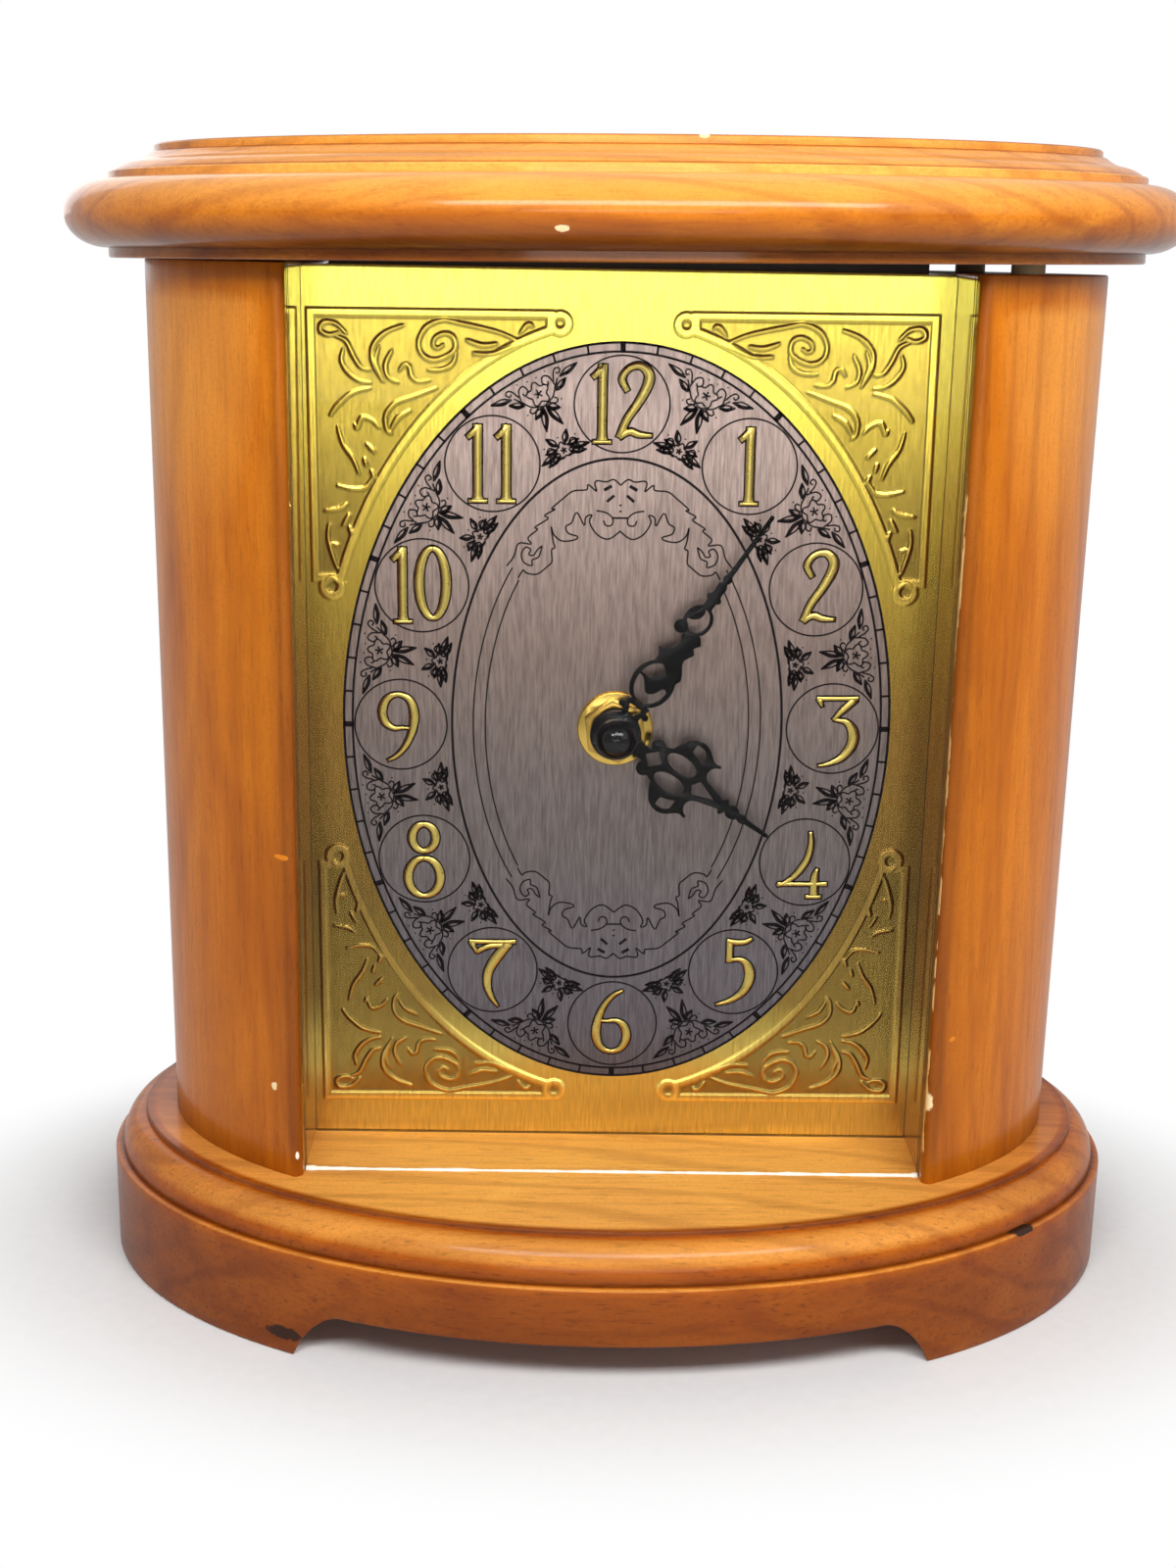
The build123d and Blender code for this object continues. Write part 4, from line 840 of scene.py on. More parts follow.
# Strokes of each figure from the middle of its circle: across, up and stroke width
FIGURES = {
    "0": [round_stroke(0.0, 0.5, 2.9, 7.45, 1.2, 1.0, 32)],
    "1": [
        [(0.0, 7.8, 2.0), (0.0, 0.0, 2.0), (0.0, -6.2, 2.0), (0.0, -7.5, 2.9)],
        [(0.2, 7.4, 1.9), (-2.0, 5.6, 1.2)],
        [(-1.8, -7.8, 0.8), (1.8, -7.8, 0.8)],
    ],
    "2": [
        [(-1.0, 2.9, 1.2), (-2.1, 5.2, 1.6), (-0.6, 7.4, 1.4), (1.8, 7.9, 1.7), (3.5, 6.2, 2.2),
         (3.2, 3.8, 2.2), (1.4, 0.4, 1.9), (-1.0, -3.2, 1.7), (-2.4, -6.6, 1.6)],
        [(-2.3, -6.8, 1.0), (-0.4, -5.6, 1.5), (1.6, -6.2, 1.4), (4.2, -6.4, 0.8)],
    ],
    "3": [
        [(-3.4, 6.7, 1.0), (5.2, 6.8, 1.0)],
        [(-3.0, 6.4, 1.4), (-2.4, 5.0, 0.6)],
        [(4.6, 6.4, 1.6), (2.2, 4.2, 1.6), (0.2, 2.1, 0.8)],
        [(0.4, 2.0, 0.6), (3.0, 1.5, 1.4), (4.6, -0.8, 2.4), (4.4, -3.6, 2.4), (2.4, -6.4, 1.8),
         (-0.4, -7.8, 1.0), (-2.7, -8.3, 0.6)],
    ],
    "4": [
        [(1.1, 6.9, 0.9), (1.3, 4.2, 1.3), (0.6, 0.8, 1.6), (-1.4, -2.4, 1.5), (-3.6, -4.4, 1.1),
         (-5.8, -5.4, 0.7)],
        [(-5.6, -5.1, 1.0), (5.0, -5.0, 1.0)],
        [(2.9, -1.6, 0.8), (2.4, -3.5, 1.8), (2.4, -7.6, 1.9)],
        [(0.7, -8.0, 0.9), (3.9, -8.0, 0.9)],
    ],
    "5": [
        [(-1.4, 7.3, 1.2), (0.8, 7.0, 1.3), (2.6, 7.2, 1.2), (3.9, 7.9, 0.8)],
        [(-0.9, 7.2, 1.6), (-0.9, 2.6, 1.6)],
        [(-0.6, 2.9, 0.8), (1.8, 2.9, 1.2), (3.4, 1.2, 2.2), (3.7, -1.6, 2.4), (2.4, -4.6, 1.9),
         (-0.4, -6.8, 1.2), (-3.6, -7.8, 0.6)],
    ],
    "6": [
        [(2.2, 7.9, 0.6), (0.2, 6.8, 1.0), (-1.8, 4.4, 1.4), (-3.2, 1.0, 1.8), (-3.6, -2.6, 2.1),
         (-2.6, -5.6, 1.6), (-0.2, -6.8, 1.1), (2.2, -5.8, 1.6), (3.3, -3.2, 2.0), (2.7, -0.6, 1.8),
         (0.9, 0.7, 1.1), (-1.0, 0.6, 0.8), (-2.6, 0.7, 0.5)],
    ],
    "7": [
        [(-5.0, 6.7, 1.0), (5.0, 6.7, 1.0)],
        [(-4.6, 6.5, 1.6), (-3.6, 4.2, 0.5)],
        [(-3.4, 4.4, 1.2), (-0.8, 5.6, 1.2), (2.2, 5.8, 1.2)],
        [(3.6, 6.2, 1.8), (1.2, 3.4, 2.4), (-0.8, 0.0, 2.2), (-1.2, -3.4, 1.9), (-0.3, -6.4, 1.3),
         (1.2, -8.6, 0.5)],
    ],
    "8": [
        round_stroke(-0.1, 4.9, 2.6, 3.05, 1.2, 0.8, 24),
        round_stroke(-0.1, -4.2, 3.55, 4.35, 1.1, 1.0, 28),
    ],
}
FIGURES["9"] = [[(-x - 0.7, -z - 0.1, width) for x, z, width in path] for path in FIGURES["6"]]
FIGURE_WEIGHT = 0.88
# Figures of the hours that have two, each with its shift to the side
PAIRS = {10: (("1", -4.1), ("0", 2.3)), 11: (("1", -3.1), ("1", 2.9)), 12: (("1", -4.1), ("2", 2.0))}


def make_numerals(name, inlay, grow=0.0):
    """Figures of the twelve hours, each stroke wider by what it grows."""
    for hour in range(1, 13):
        centre_x, centre_z = hour_centre(hour)
        for figure, shift in PAIRS.get(hour, ((str(hour), 0.0),)):
            for path in FIGURES[figure]:
                moved = [(centre_x + shift + x, centre_z + z, FIGURE_WEIGHT * width) for x, z, width in path]
                inlay.stroke(moved, None, 6, grow=grow)
    return inlay.build(name)


def ring_between(name, inner, outer, front, back, bands, edge):
    """Flat plate between a round hole and an outer outline. The last front band is drawn in a little, so
    that the outer edge is a soft corner."""
    last_band = 0.993
    drawn_in = edge / 30
    spots = [(band / bands, front) for band in range(bands)]
    spots += [(last_band, front), (1 - drawn_in, front), (1.0, front + edge)]
    spots += [(1.0, back), (0.0, back), (0.0, front)]
    vertices = []
    for share, y in spots:
        for start, end in zip(inner, outer):
            x, z = (a + (b - a) * share for a, b in zip(start, end))
            vertices.append((x, y, z))
    return sharpen(mesh_from(name, vertices, between_rows(len(spots), len(inner))))


def make_sheet():
    """Brass sheet with its hole under the washer."""
    angles = even_angles(DIAL_STEPS)

    def reach(axis, centre, lean):
        """Way from the arbor to the sheet's edge in one direction."""
        edge = PLATE_HIGH[axis] if lean > 0 else PLATE_LOW[axis]
        return (edge - centre) / lean if abs(lean) > 1e-9 else math.inf

    outer = []
    for angle in angles:
        dx, dz = math.sin(angle), math.cos(angle)
        run = min(reach(0, ARBOR_X, dx), reach(2, ARBOR_Z, dz))
        outer.append((ARBOR_X + run * dx, ARBOR_Z + run * dz))
    inner = round_arbor(WASHER_SEAT - SHEET_LIP, angles)
    return ring_between("dial_sheet", inner, outer, PLATE_FRONT, PLATE_HIGH[1], bands=6, edge=0.1)


def make_oval():
    """Silvered oval laid on the sheet, open round the washer."""
    angles = even_angles(DIAL_STEPS)
    outer = [on_dial(OVAL_HALF_WIDTH * math.sin(a), OVAL_HALF_HEIGHT * math.cos(a)) for a in angles]
    inner = round_arbor(WASHER_SEAT, angles)
    return ring_between("chapter_oval", inner, outer, OVAL_FACE, PLATE_FRONT, bands=8, edge=0.08)


# Scroll strokes of one embossed corner, inward from its corner along the short and the long edge
CORNER_STROKES = (
    ((8.3, 5.2), (6.3, 3.3), (3.8, 3.0), (3.0, 4.6), (4.8, 5.6), (6.8, 5.0)),
    ((6.3, 5.8), (8.3, 6.8), (9.8, 9.8), (11.3, 12.0), (13.0, 12.5)),
    ((7.7, 8.5), (7.3, 10.8), (8.8, 13.3), (11.0, 14.8), (13.1, 15.2)),
    ((20.0, 3.5), (16.3, 5.0), (13.8, 7.8), (13.8, 11.3), (15.8, 14.8)),
    ((15.0, 7.8), (14.3, 10.8), (15.5, 13.8)),
    ((17.7, 8.6), (16.4, 11.3), (16.8, 13.8), (18.8, 15.0)),
    ((19.3, 12.5), (20.3, 11.3), (21.3, 11.8), (21.8, 13.8), (23.3, 14.8), (25.3, 14.6)),
    ((43.8, 6.3), (40.3, 4.8), (36.3, 3.8), (32.3, 3.0), (28.3, 2.3), (24.8, 3.8), (23.3, 6.8), (24.0, 9.3),
     (26.3, 10.4), (29.0, 9.6), (30.8, 8.0), (30.5, 5.8), (28.8, 5.0), (26.8, 5.8), (26.3, 7.3), (27.3, 8.0),
     (28.3, 7.3)),
    ((31.0, 8.8), (30.3, 11.0), (28.3, 12.2), (25.3, 12.4)),
    ((33.3, 6.3), (36.3, 7.3), (39.3, 7.0)),
    ((34.6, 9.0), (38.3, 9.1), (41.8, 7.8), (43.9, 6.8)),
    ((44.3, 4.8), (45.8, 3.0), (46.8, 3.3)),
    ((26.8, 16.1), (22.3, 17.8), (18.3, 19.3), (16.3, 21.8), (16.5, 24.8), (17.4, 25.5)),
    ((21.3, 20.8), (18.8, 22.3), (17.3, 24.8)),
    ((13.0, 16.3), (9.3, 17.3), (6.3, 19.8), (4.8, 21.8)),
    ((6.3, 24.3), (7.3, 27.8), (9.3, 30.8), (10.5, 33.8)),
    ((9.8, 23.8), (10.3, 24.5), (11.3, 22.3), (13.3, 22.8), (14.8, 24.3)),
    ((6.0, 36.5), (9.3, 37.2), (11.8, 36.8), (13.5, 34.5)),
    ((3.3, 41.8), (6.3, 41.3), (7.8, 40.3)),
    ((4.0, 44.8), (3.8, 47.8), (4.8, 51.8), (5.6, 54.1)),
    ((12.3, 27.8), (13.8, 29.4)),
    ((11.7, 30.8), (12.1, 32.3)),
    ((13.1, 33.3), (13.8, 34.8)),
    ((7.0, 44.8), (8.3, 42.6)),
    ((8.3, 45.2), (8.8, 46.8)),
    ((4.6, 48.8), (5.8, 49.1)),
    ((2.8, 56.8), (4.3, 55.9), (6.1, 57.5)),
)
CORNER_HALF_WIDTH = 65.55
CORNER_HALF_HEIGHT = 88.0
CORNER_MARGIN = 1.0
CORNER_REACH = (55.8, 61.5)
CORNER_LOBES = ((52.5, 2.7, 2.7), (4.4, 58.0, 2.9))
CORNER_GAP = 3.5
CORNER_GRID = 0.25
BORDER_WIDTH = 1.9
BORDER_RISE = 0.18
BORDER_EDGE = 0.3
PANEL_EDGE = 0.2
STROKE_RISE = 0.27
STROKE_HALF = 0.5
STROKE_END = 0.62
UNDER_OVAL = 0.6


def corner_heights(u, v):
    """Relief of one embossed corner over a grid of places, and how far each lies inside its border."""
    x = CORNER_HALF_WIDTH - u
    z = CORNER_HALF_HEIGHT - v
    half_width = OVAL_HALF_WIDTH + CORNER_GAP
    half_height = OVAL_HALF_HEIGHT + CORNER_GAP
    level = np.sqrt((x / half_width) ** 2 + (z / half_height) ** 2)
    slope = np.sqrt((x / half_width**2) ** 2 + (z / half_height**2) ** 2) / np.maximum(level, 1e-6)
    from_oval = (level - 1) / np.maximum(slope, 1e-6)
    inside = np.minimum.reduce([u, v, from_oval, CORNER_LOBES[0][0] - 1 - u, CORNER_LOBES[1][1] - 1 - v])
    for lobe_u, lobe_v, radius in CORNER_LOBES:
        inside = np.maximum(inside, radius - np.hypot(u - lobe_u, v - lobe_v))
    border = smooth_step(0.0, BORDER_EDGE, inside)
    border -= smooth_step(BORDER_WIDTH - BORDER_EDGE, BORDER_WIDTH + PANEL_EDGE, inside)
    relief = BORDER_RISE * border
    for path in CORNER_STROKES:
        run = curve_through(path, 5)
        for i, (start, end) in enumerate(zip(run[:-1], run[1:])):
            along = end - start
            length = max(float(along @ along), 1e-9)
            share = np.clip(((u - start[0]) * along[0] + (v - start[1]) * along[1]) / length, 0.0, 1.0)
            away = np.hypot(u - start[0] - share * along[0], v - start[1] - share * along[1])
            taper = STROKE_END + (1 - STROKE_END) * math.sin(math.pi * (i + 0.5) / (len(run) - 1))
            dome = np.sqrt(np.clip(1 - (away / (STROKE_HALF * taper)) ** 2, 0.0, 1.0))
            relief = np.maximum(relief, STROKE_RISE * taper * dome)
    return relief, smooth_step(PANEL_EDGE, BORDER_WIDTH, inside)


def make_corner(name, right, upper):
    """One embossed corner as a fine grid that lies on the sheet and runs under the oval."""
    steps = [np.arange(-CORNER_MARGIN, reach, CORNER_GRID) for reach in CORNER_REACH]
    grid_u, grid_v = np.meshgrid(*steps, indexing="ij")
    relief, panel = corner_heights(grid_u, grid_v)
    x = (CORNER_HALF_WIDTH - grid_u) * right
    z = (CORNER_HALF_HEIGHT - grid_v) * upper
    across = x / (OVAL_HALF_WIDTH - UNDER_OVAL)
    rise = z / (OVAL_HALF_HEIGHT - UNDER_OVAL)
    shown = across**2 + rise**2 >= 1
    dial_x, dial_z = on_dial(x, z)
    vertices = np.stack([dial_x, PLATE_FRONT - SHEET_LIFT - relief, dial_z], -1)[shown]
    index = np.where(shown, np.cumsum(shown).reshape(shown.shape) - 1, -1)
    faces = np.stack([index[:-1, :-1], index[1:, :-1], index[1:, 1:], index[:-1, 1:]], -1).reshape(-1, 4)
    faces = faces[faces.min(1) >= 0]
    if right * upper < 0:
        faces = faces[:, ::-1]
    piece = mesh_from(name, vertices.tolist(), faces.tolist())
    mark_points(piece, "rise", (relief[shown] / STROKE_RISE).tolist())
    return mark_points(piece, "panel", panel[shown].tolist())


# Hands and their fittings

def bevelled_copy(node, name, width):
    """Copy of a CAD node with its sharp edges softened."""
    flat = math.radians(0.5)
    crease = math.radians(50)
    work = bmesh.new()
    work.from_mesh(frame["nodes"][node].data)
    bmesh.ops.remove_doubles(work, verts=work.verts, dist=1e-6)
    bmesh.ops.dissolve_limit(work, angle_limit=flat, verts=work.verts, edges=work.edges)
    sharp = [e for e in work.edges if len(e.link_faces) == 2 and e.calc_face_angle(0.0) > crease]
    bmesh.ops.bevel(work, geom=sharp, offset=width * MM, segments=2, profile=0.5, affect="EDGES",
                    clamp_overlap=True)
    mesh = bpy.data.meshes.new(name)
    work.to_mesh(mesh)
    work.free()
    mesh.polygons.foreach_set("use_smooth", [True] * len(mesh.polygons))
    return sharpen(placed(name, mesh), 25.0)


def make_cap():
    """Cap nut turned about the arbor: a tapered rim with a soft edge, a short neck and a round dome."""
    rim = (CAP_HIGH[0] - CAP_LOW[0]) / 2
    dome = CAP_DOME_RADIUS
    flat = CAP_RIM_HEIGHT
    profile = [(rim - 0.15, 0.0), (rim, 0.15), (rim - 0.35, flat - 0.25), (rim - 0.45, flat - 0.08)]
    profile += [(rim - 0.62, flat), (dome + 0.2, flat), (dome + 0.04, flat + 0.08), (dome, flat + 0.25)]
    profile += arc((0.0, CAP_HIGH[1] - CAP_LOW[1] - dome), dome, 0, 87, 24)
    turns = 96
    vertices = []
    for radius, reach in profile:
        vertices += [(x, CAP_HIGH[1] - reach, z) for x, z in round_arbor(radius, even_angles(turns))]
    faces = between_rows(len(profile), turns)
    back = len(vertices)
    front = back + 1
    last = back - turns
    vertices += [(ARBOR_X, CAP_HIGH[1], ARBOR_Z), (ARBOR_X, CAP_LOW[1], ARBOR_Z)]
    for i in range(turns):
        j = (i + 1) % turns
        faces += [(back, j, i), (front, last + i, last + j)]
    return sharpen(mesh_from("cap_body", vertices, faces), 50.0)


# Materials

class Nodes:
    """Short ways to add and join shader nodes in a material or a world."""

    def __init__(self, owner):
        if isinstance(owner, str):
            owner = bpy.data.materials.new(owner)
        owner.use_nodes = True
        self.material = owner
        self.tree = owner.node_tree
        self.shader = self.tree.nodes.get("Principled BSDF")

    def feed(self, node, inputs):
        """Fill inputs of a node, each with a value or with the output of another node."""
        for name, value in inputs.items():
            socket = node.inputs[name]
            if isinstance(value, bpy.types.NodeSocket):
                self.tree.links.new(value, socket)
            else:
                socket.default_value = (*value, 1.0) if socket.type == "RGBA" else value

    def add(self, kind, inputs, **settings):
        made = self.tree.nodes.new(kind)
        for key, value in settings.items():
            setattr(made, key, value)
        self.feed(made, inputs)
        return made

    def place(self, scale=(1, 1, 1), shift=(0, 0, 0)):
        """Object coordinates, stretched."""
        spot = self.add("ShaderNodeTexCoord", {}).outputs["Object"]
        made = self.add("ShaderNodeMapping", {"Vector": spot, "Scale": scale, "Location": shift})
        return made.outputs["Vector"]

    def axis(self, name, space="Object"):
        """One coordinate."""
        spot = self.add("ShaderNodeTexCoord", {}).outputs[space]
        return self.add("ShaderNodeSeparateXYZ", {0: spot}).outputs[name]

    def length(self, vector):
        return self.add("ShaderNodeVectorMath", {0: vector}, operation="LENGTH").outputs["Value"]

    def attribute(self, name):
        return self.add("ShaderNodeAttribute", {}, attribute_name=name).outputs["Fac"]

    def noise(self, vector, scale, detail, rough=0.55, distortion=0.0):
        inputs = {"Vector": vector, "Scale": scale, "Detail": detail, "Roughness": rough}
        return self.add("ShaderNodeTexNoise", {**inputs, "Distortion": distortion}).outputs["Fac"]

    def waves(self, vector, scale, distortion):
        """Wavering bands."""
        inputs = {"Vector": vector, "Scale": scale, "Distortion": distortion}
        inputs.update({"Detail": 2.0, "Detail Scale": 0.6})
        return self.add("ShaderNodeTexWave", inputs, bands_direction="DIAGONAL").outputs["Fac"]

    def ramp(self, factor, stops):
        made = self.add("ShaderNodeValToRGB", {"Fac": factor})
        while len(made.color_ramp.elements) < len(stops):
            made.color_ramp.elements.new(0.5)
        for element, (position, colour) in zip(made.color_ramp.elements, stops):
            element.position = position
            element.color = (*colour, 1.0)
        return made.outputs["Color"]

    def shade(self, factor, low, high, strength=1.0):
        """Rise from nought at one value of a factor to a strength at another."""
        return self.ramp(factor, [(low, BLACK), (high, (strength, strength, strength))])

    def mix(self, factor, first, second, blend="MIX"):
        inputs = {0: factor, 6: first, 7: second}
        return self.add("ShaderNodeMix", inputs, data_type="RGBA", blend_type=blend).outputs[2]

    def math(self, kind, first, second):
        return self.add("ShaderNodeMath", {0: first, 1: second}, operation=kind).outputs[0]

    def spread(self, value, low, high, start=0.0, end=1.0, kind="LINEAR"):
        """Map the values from start to end onto a range."""
        inputs = {"Value": value, "From Min": start, "From Max": end, "To Min": low, "To Max": high}
        return self.add("ShaderNodeMapRange", inputs, interpolation_type=kind).outputs["Result"]

    def patch(self, colour, place, sizes, tint):
        """Lay a ragged patch of another colour at a place; sizes are its half lengths in millimetres."""
        scale = tuple(1 / (size * MM) for size in sizes)
        shift = tuple(-spot * MM * k for spot, k in zip(place, scale))
        ragged = self.spread(self.noise(self.place(), 900, 2), -0.5, 0.5)
        away = self.math("ADD", self.length(self.place(scale, shift)), ragged)
        return self.mix(self.ramp(away, [(0.8, WHITE), (1.0, BLACK)]), colour, tint)

    def bump(self, height, strength, distance=0.0002):
        inputs = {"Height": height, "Strength": strength, "Distance": distance}
        self.feed(self.shader, {"Normal": self.add("ShaderNodeBump", inputs).outputs["Normal"]})

    def finish(self, inputs):
        """Fill the shader's inputs, and hand over the material."""
        self.feed(self.shader, inputs)
        return self.material

    def blend_shader(self, factor, other):
        """Mix another shader over the main one."""
        inputs = {0: factor, 1: self.shader.outputs[0], 2: other.outputs[0]}
        made = self.add("ShaderNodeMixShader", inputs)
        self.feed(self.tree.nodes["Material Output"], {"Surface": made.outputs[0]})


def wood_material(name, along, marks=(), tones=COLUMN_TONES, coat=0.22, gloss=0.18, figure=0.17, pore=0.25):
    """Amber-stained, lacquered close-grained wood. Painted shade with some dark stain darkens it or, below
    nought, painted light pales it; "wear" bares its edges, and each mark is a (place, half sizes, colour)
    patch."""
    kit = Nodes(name)

    def grain(stretch, *shift):
        """Coordinates drawn out along the grain."""
        return kit.place((stretch, 1, 1) if along == "X" else (1, 1, stretch), shift or (0, 0, 0))

    # Each layer has its scale, detail, roughness and distortion
    broad = kit.noise(grain(0.12), 70, 4, 0.5, 1.0)
    rings = kit.noise(grain(0.04, 0.1, 0.2, 0.9), 480, 3, 0.6, 0.8)
    lines = kit.waves(grain(0.15, 0.4, 0.1, 0.3), 44, 9.0)
    streak = kit.noise(grain(0.06, 0.3, 0.1, 0.2), 1700, 3, 0.65)
    pores = kit.noise(grain(0.12, 0.5, 0.3, 0.6), 1500, 2, 0.5)
    blotch = kit.noise(grain(1, 0.7, 0.4, 0.1), 26, 4, 0.55, 0.4)
    speck = kit.noise(grain(1, 0.2, 0.6, 0.5), 1400, 2, 0.6)
    # Painted shade with some dark stain above nought, painted light below it, broken up by the blotches
    deep = kit.math("MULTIPLY", kit.attribute("stain_and_painted_light"), kit.spread(blotch, 0.7, 1.15))
    dark, middle, light = tones
    colour = kit.ramp(broad, [(0.25, dark), (0.5, middle), (0.75, light)])
    colour = kit.mix(kit.shade(blotch, 0.4, 0.75, 0.6), colour, light)
    # Painted light where the number is below nought
    colour = kit.mix(kit.math("MULTIPLY", deep, -1.0), colour, WOOD_PAINTED_LIGHT)
    colour = kit.mix(kit.shade(rings, 0.5, 0.66, figure), colour, WOOD_RING)
    colour = kit.mix(kit.shade(lines, 0.8, 1.0, 1.25 * figure), colour, WOOD_RING)
    colour = kit.mix(kit.shade(streak, 0.54, 0.78, 0.25 + 0.35 * figure), colour, WOOD_PORE)
    colour = kit.mix(kit.shade(pores, 0.6, 0.7, pore), colour, WOOD_PORE)
    colour = kit.mix(kit.shade(speck, 0.45, 0.75, 0.3), colour, dark)
    # More painted light, laid over the grain
    colour = kit.mix(kit.math("MULTIPLY", deep, -0.45), colour, WOOD_PAINTED_LIGHT)
    # Painted shade and dark stain where the number is above nought
    colour = kit.mix(deep, colour, STAIN_AND_SHADE_TINT, "MULTIPLY")
    ragged = kit.noise(kit.place((1, 1, 0.16), (0.1, 0.8, 0.3)), 420, 3, 0.7)
    bare = kit.math("ADD", kit.math("MULTIPLY", kit.attribute("wear"), 0.475), ragged)
    colour = kit.mix(kit.shade(bare, 0.985, 1.0), colour, WOOD_WORN)
    for place, sizes, tint in marks:
        colour = kit.patch(colour, place, sizes, tint)
    kit.bump(kit.math("ADD", streak, kit.math("MULTIPLY", speck, 0.6)), 0.08)
    lacquer = {"Coat Weight": coat, "Coat Roughness": gloss, "Coat IOR": 1.45, "Specular IOR Level": 0.1}
    return kit.finish({"Base Color": colour, "Roughness": kit.spread(streak, 0.36, 0.5), **lacquer})


def brushed_metal(name, tones, roughness, brushing, panel_painted_reflection=None):
    """Metal brushed upright, with tones from the foot of the dial to its top that are painted reflections. A
    rise lightens the relief, partly its rubbed tops and partly a painted highlight, and corner panels have
    painted tones of their own."""
    kit = Nodes(name)
    height = kit.spread(kit.axis("Z"), 0.0, 1.0, PLATE_LOW[2] * MM, PLATE_HIGH[2] * MM)
    brush = kit.noise(kit.place((1, 1, 0.09)), 2100, 3, 0.6)
    cloud = kit.noise(kit.place((1, 1, 0.6)), 26, 3, 0.5)
    clouded = tuple(c * 0.45 for c in tones[len(tones) // 2][1])
    colour = kit.ramp(height, tones)
    if panel_painted_reflection:
        colour = kit.mix(kit.attribute("panel"), colour, kit.ramp(height, panel_painted_reflection))
    colour = kit.mix(kit.shade(brush, 0.34, 0.68, brushing), colour, BLACK)
    colour = kit.mix(kit.spread(cloud, 0.0, 0.22), colour, clouded)
    # Lighter raised relief: partly rubbed tops, partly a painted highlight
    colour = kit.mix(kit.math("MULTIPLY", kit.attribute("rise"), 0.7), colour, colour, "ADD")
    kit.bump(brush, 0.1, 0.00005)
    gloss = kit.spread(brush, roughness * 0.8, roughness * 1.3)
    return kit.finish({"Base Color": colour, "Roughness": gloss, "Metallic": 1.0})


def plain_material(name, colour, roughness, metallic=0.0, speckle=0.1, scale=400.0, specular=0.5):
    """Even finish with a little mottling in colour and gloss."""
    kit = Nodes(name)
    mottle = kit.noise(kit.place(), scale, 4)
    dark = tuple(c * (1 - speckle) for c in colour)
    light = tuple(min(1.0, c * (1 + speckle)) for c in colour)
    kit.bump(mottle, 0.05)
    return kit.finish({
        "Base Color": kit.ramp(mottle, [(0.3, dark), (0.7, light)]),
        "Roughness": kit.spread(mottle, roughness * 0.85, roughness * 1.15),
        "Metallic": metallic,
        "Specular IOR Level": specular,
    })


def battery_material():
    """Dark wrap with a copper-coloured band round the end with the cap."""
    kit = Nodes("battery_wrap")
    mottle = kit.noise(kit.place(), 700, 3)
    dark = kit.ramp(mottle, [(0.3, (0.018, 0.018, 0.02)), (0.7, (0.03, 0.03, 0.033))])
    copper = kit.ramp(mottle, [(0.3, (0.52, 0.24, 0.09)), (0.7, (0.62, 0.30, 0.12))])
    band = kit.shade(kit.axis("X", "Generated"), BATTERY_BAND, BATTERY_BAND + 0.005)
    return kit.finish({
        "Base Color": kit.mix(band, dark, copper),
        "Roughness": kit.spread(mottle, 0.25, 0.35),
        "Metallic": kit.spread(band, 0.0, 0.8),
    })


def glass_material():
    """Clear pane. Light that has bounced off what stands behind it passes straight through."""
    kit = Nodes("clear_glass")
    path = kit.add("ShaderNodeLightPath", {}).outputs
    bounced = kit.math("MAXIMUM", path["Is Diffuse Ray"], path["Is Glossy Ray"])
    passing = kit.math("MAXIMUM", path["Is Shadow Ray"], bounced)
    kit.blend_shader(passing, kit.add("ShaderNodeBsdfTransparent", {}))
    tint = {"Base Color": (0.97, 0.99, 0.98), "Transmission Weight": 1.0}
    return kit.finish({**tint, "Roughness": 0.0, "IOR": 1.12})


# Stage, light and camera

def seen_rays(kit, depth, front, back):
    """Share of the white background that a ray sees: all of it from the camera and through glass. A glossy
    surface mirrors it white behind the object and dim on the camera's side. Other rays see none."""
    mirrored = kit.spread(depth, 0.25, 1.0, front, back, "SMOOTHSTEP")
    path = kit.add("ShaderNodeLightPath", {}).outputs
    glossy = kit.math("MULTIPLY", path["Is Glossy Ray"], mirrored)
    direct = kit.math("MAXIMUM", path["Is Camera Ray"], path["Is Transmission Ray"])
    return kit.math("MAXIMUM", direct, glossy)


def floor_material():
    """Pale floor that fades into the white background away from the object."""
    kit = Nodes("floor_white")
    grain = kit.noise(kit.place(), 300, 2)
    tone = kit.ramp(grain, [(0.3, (0.84, 0.84, 0.84)), (0.7, (0.87, 0.87, 0.87))])
    away = kit.length(kit.place((1 / (BASE_HALF_WIDTH * MM), 1 / (BASE_HALF_DEPTH * MM), 1)))
    fade = kit.spread(away, 0.0, 1.0, *FLOOR_FADE, "SMOOTHSTEP")
    seen = seen_rays(kit, kit.axis("Y"), -1.0, 0.0)
    kit.blend_shader(kit.math("MULTIPLY", fade, seen), kit.add("ShaderNodeEmission", {}))
    return kit.finish({"Base Color": tone, "Roughness": 0.9, "Specular IOR Level": 0.1})


def make_stage():
    half = FLOOR_HALF
    corners = [(-half, -half, 0), (half, -half, 0), (half, half, 0), (-half, half, 0)]
    floor = mesh_from("floor", corners, [(0, 1, 2, 3)])
    floor.data.materials.append(floor_material())


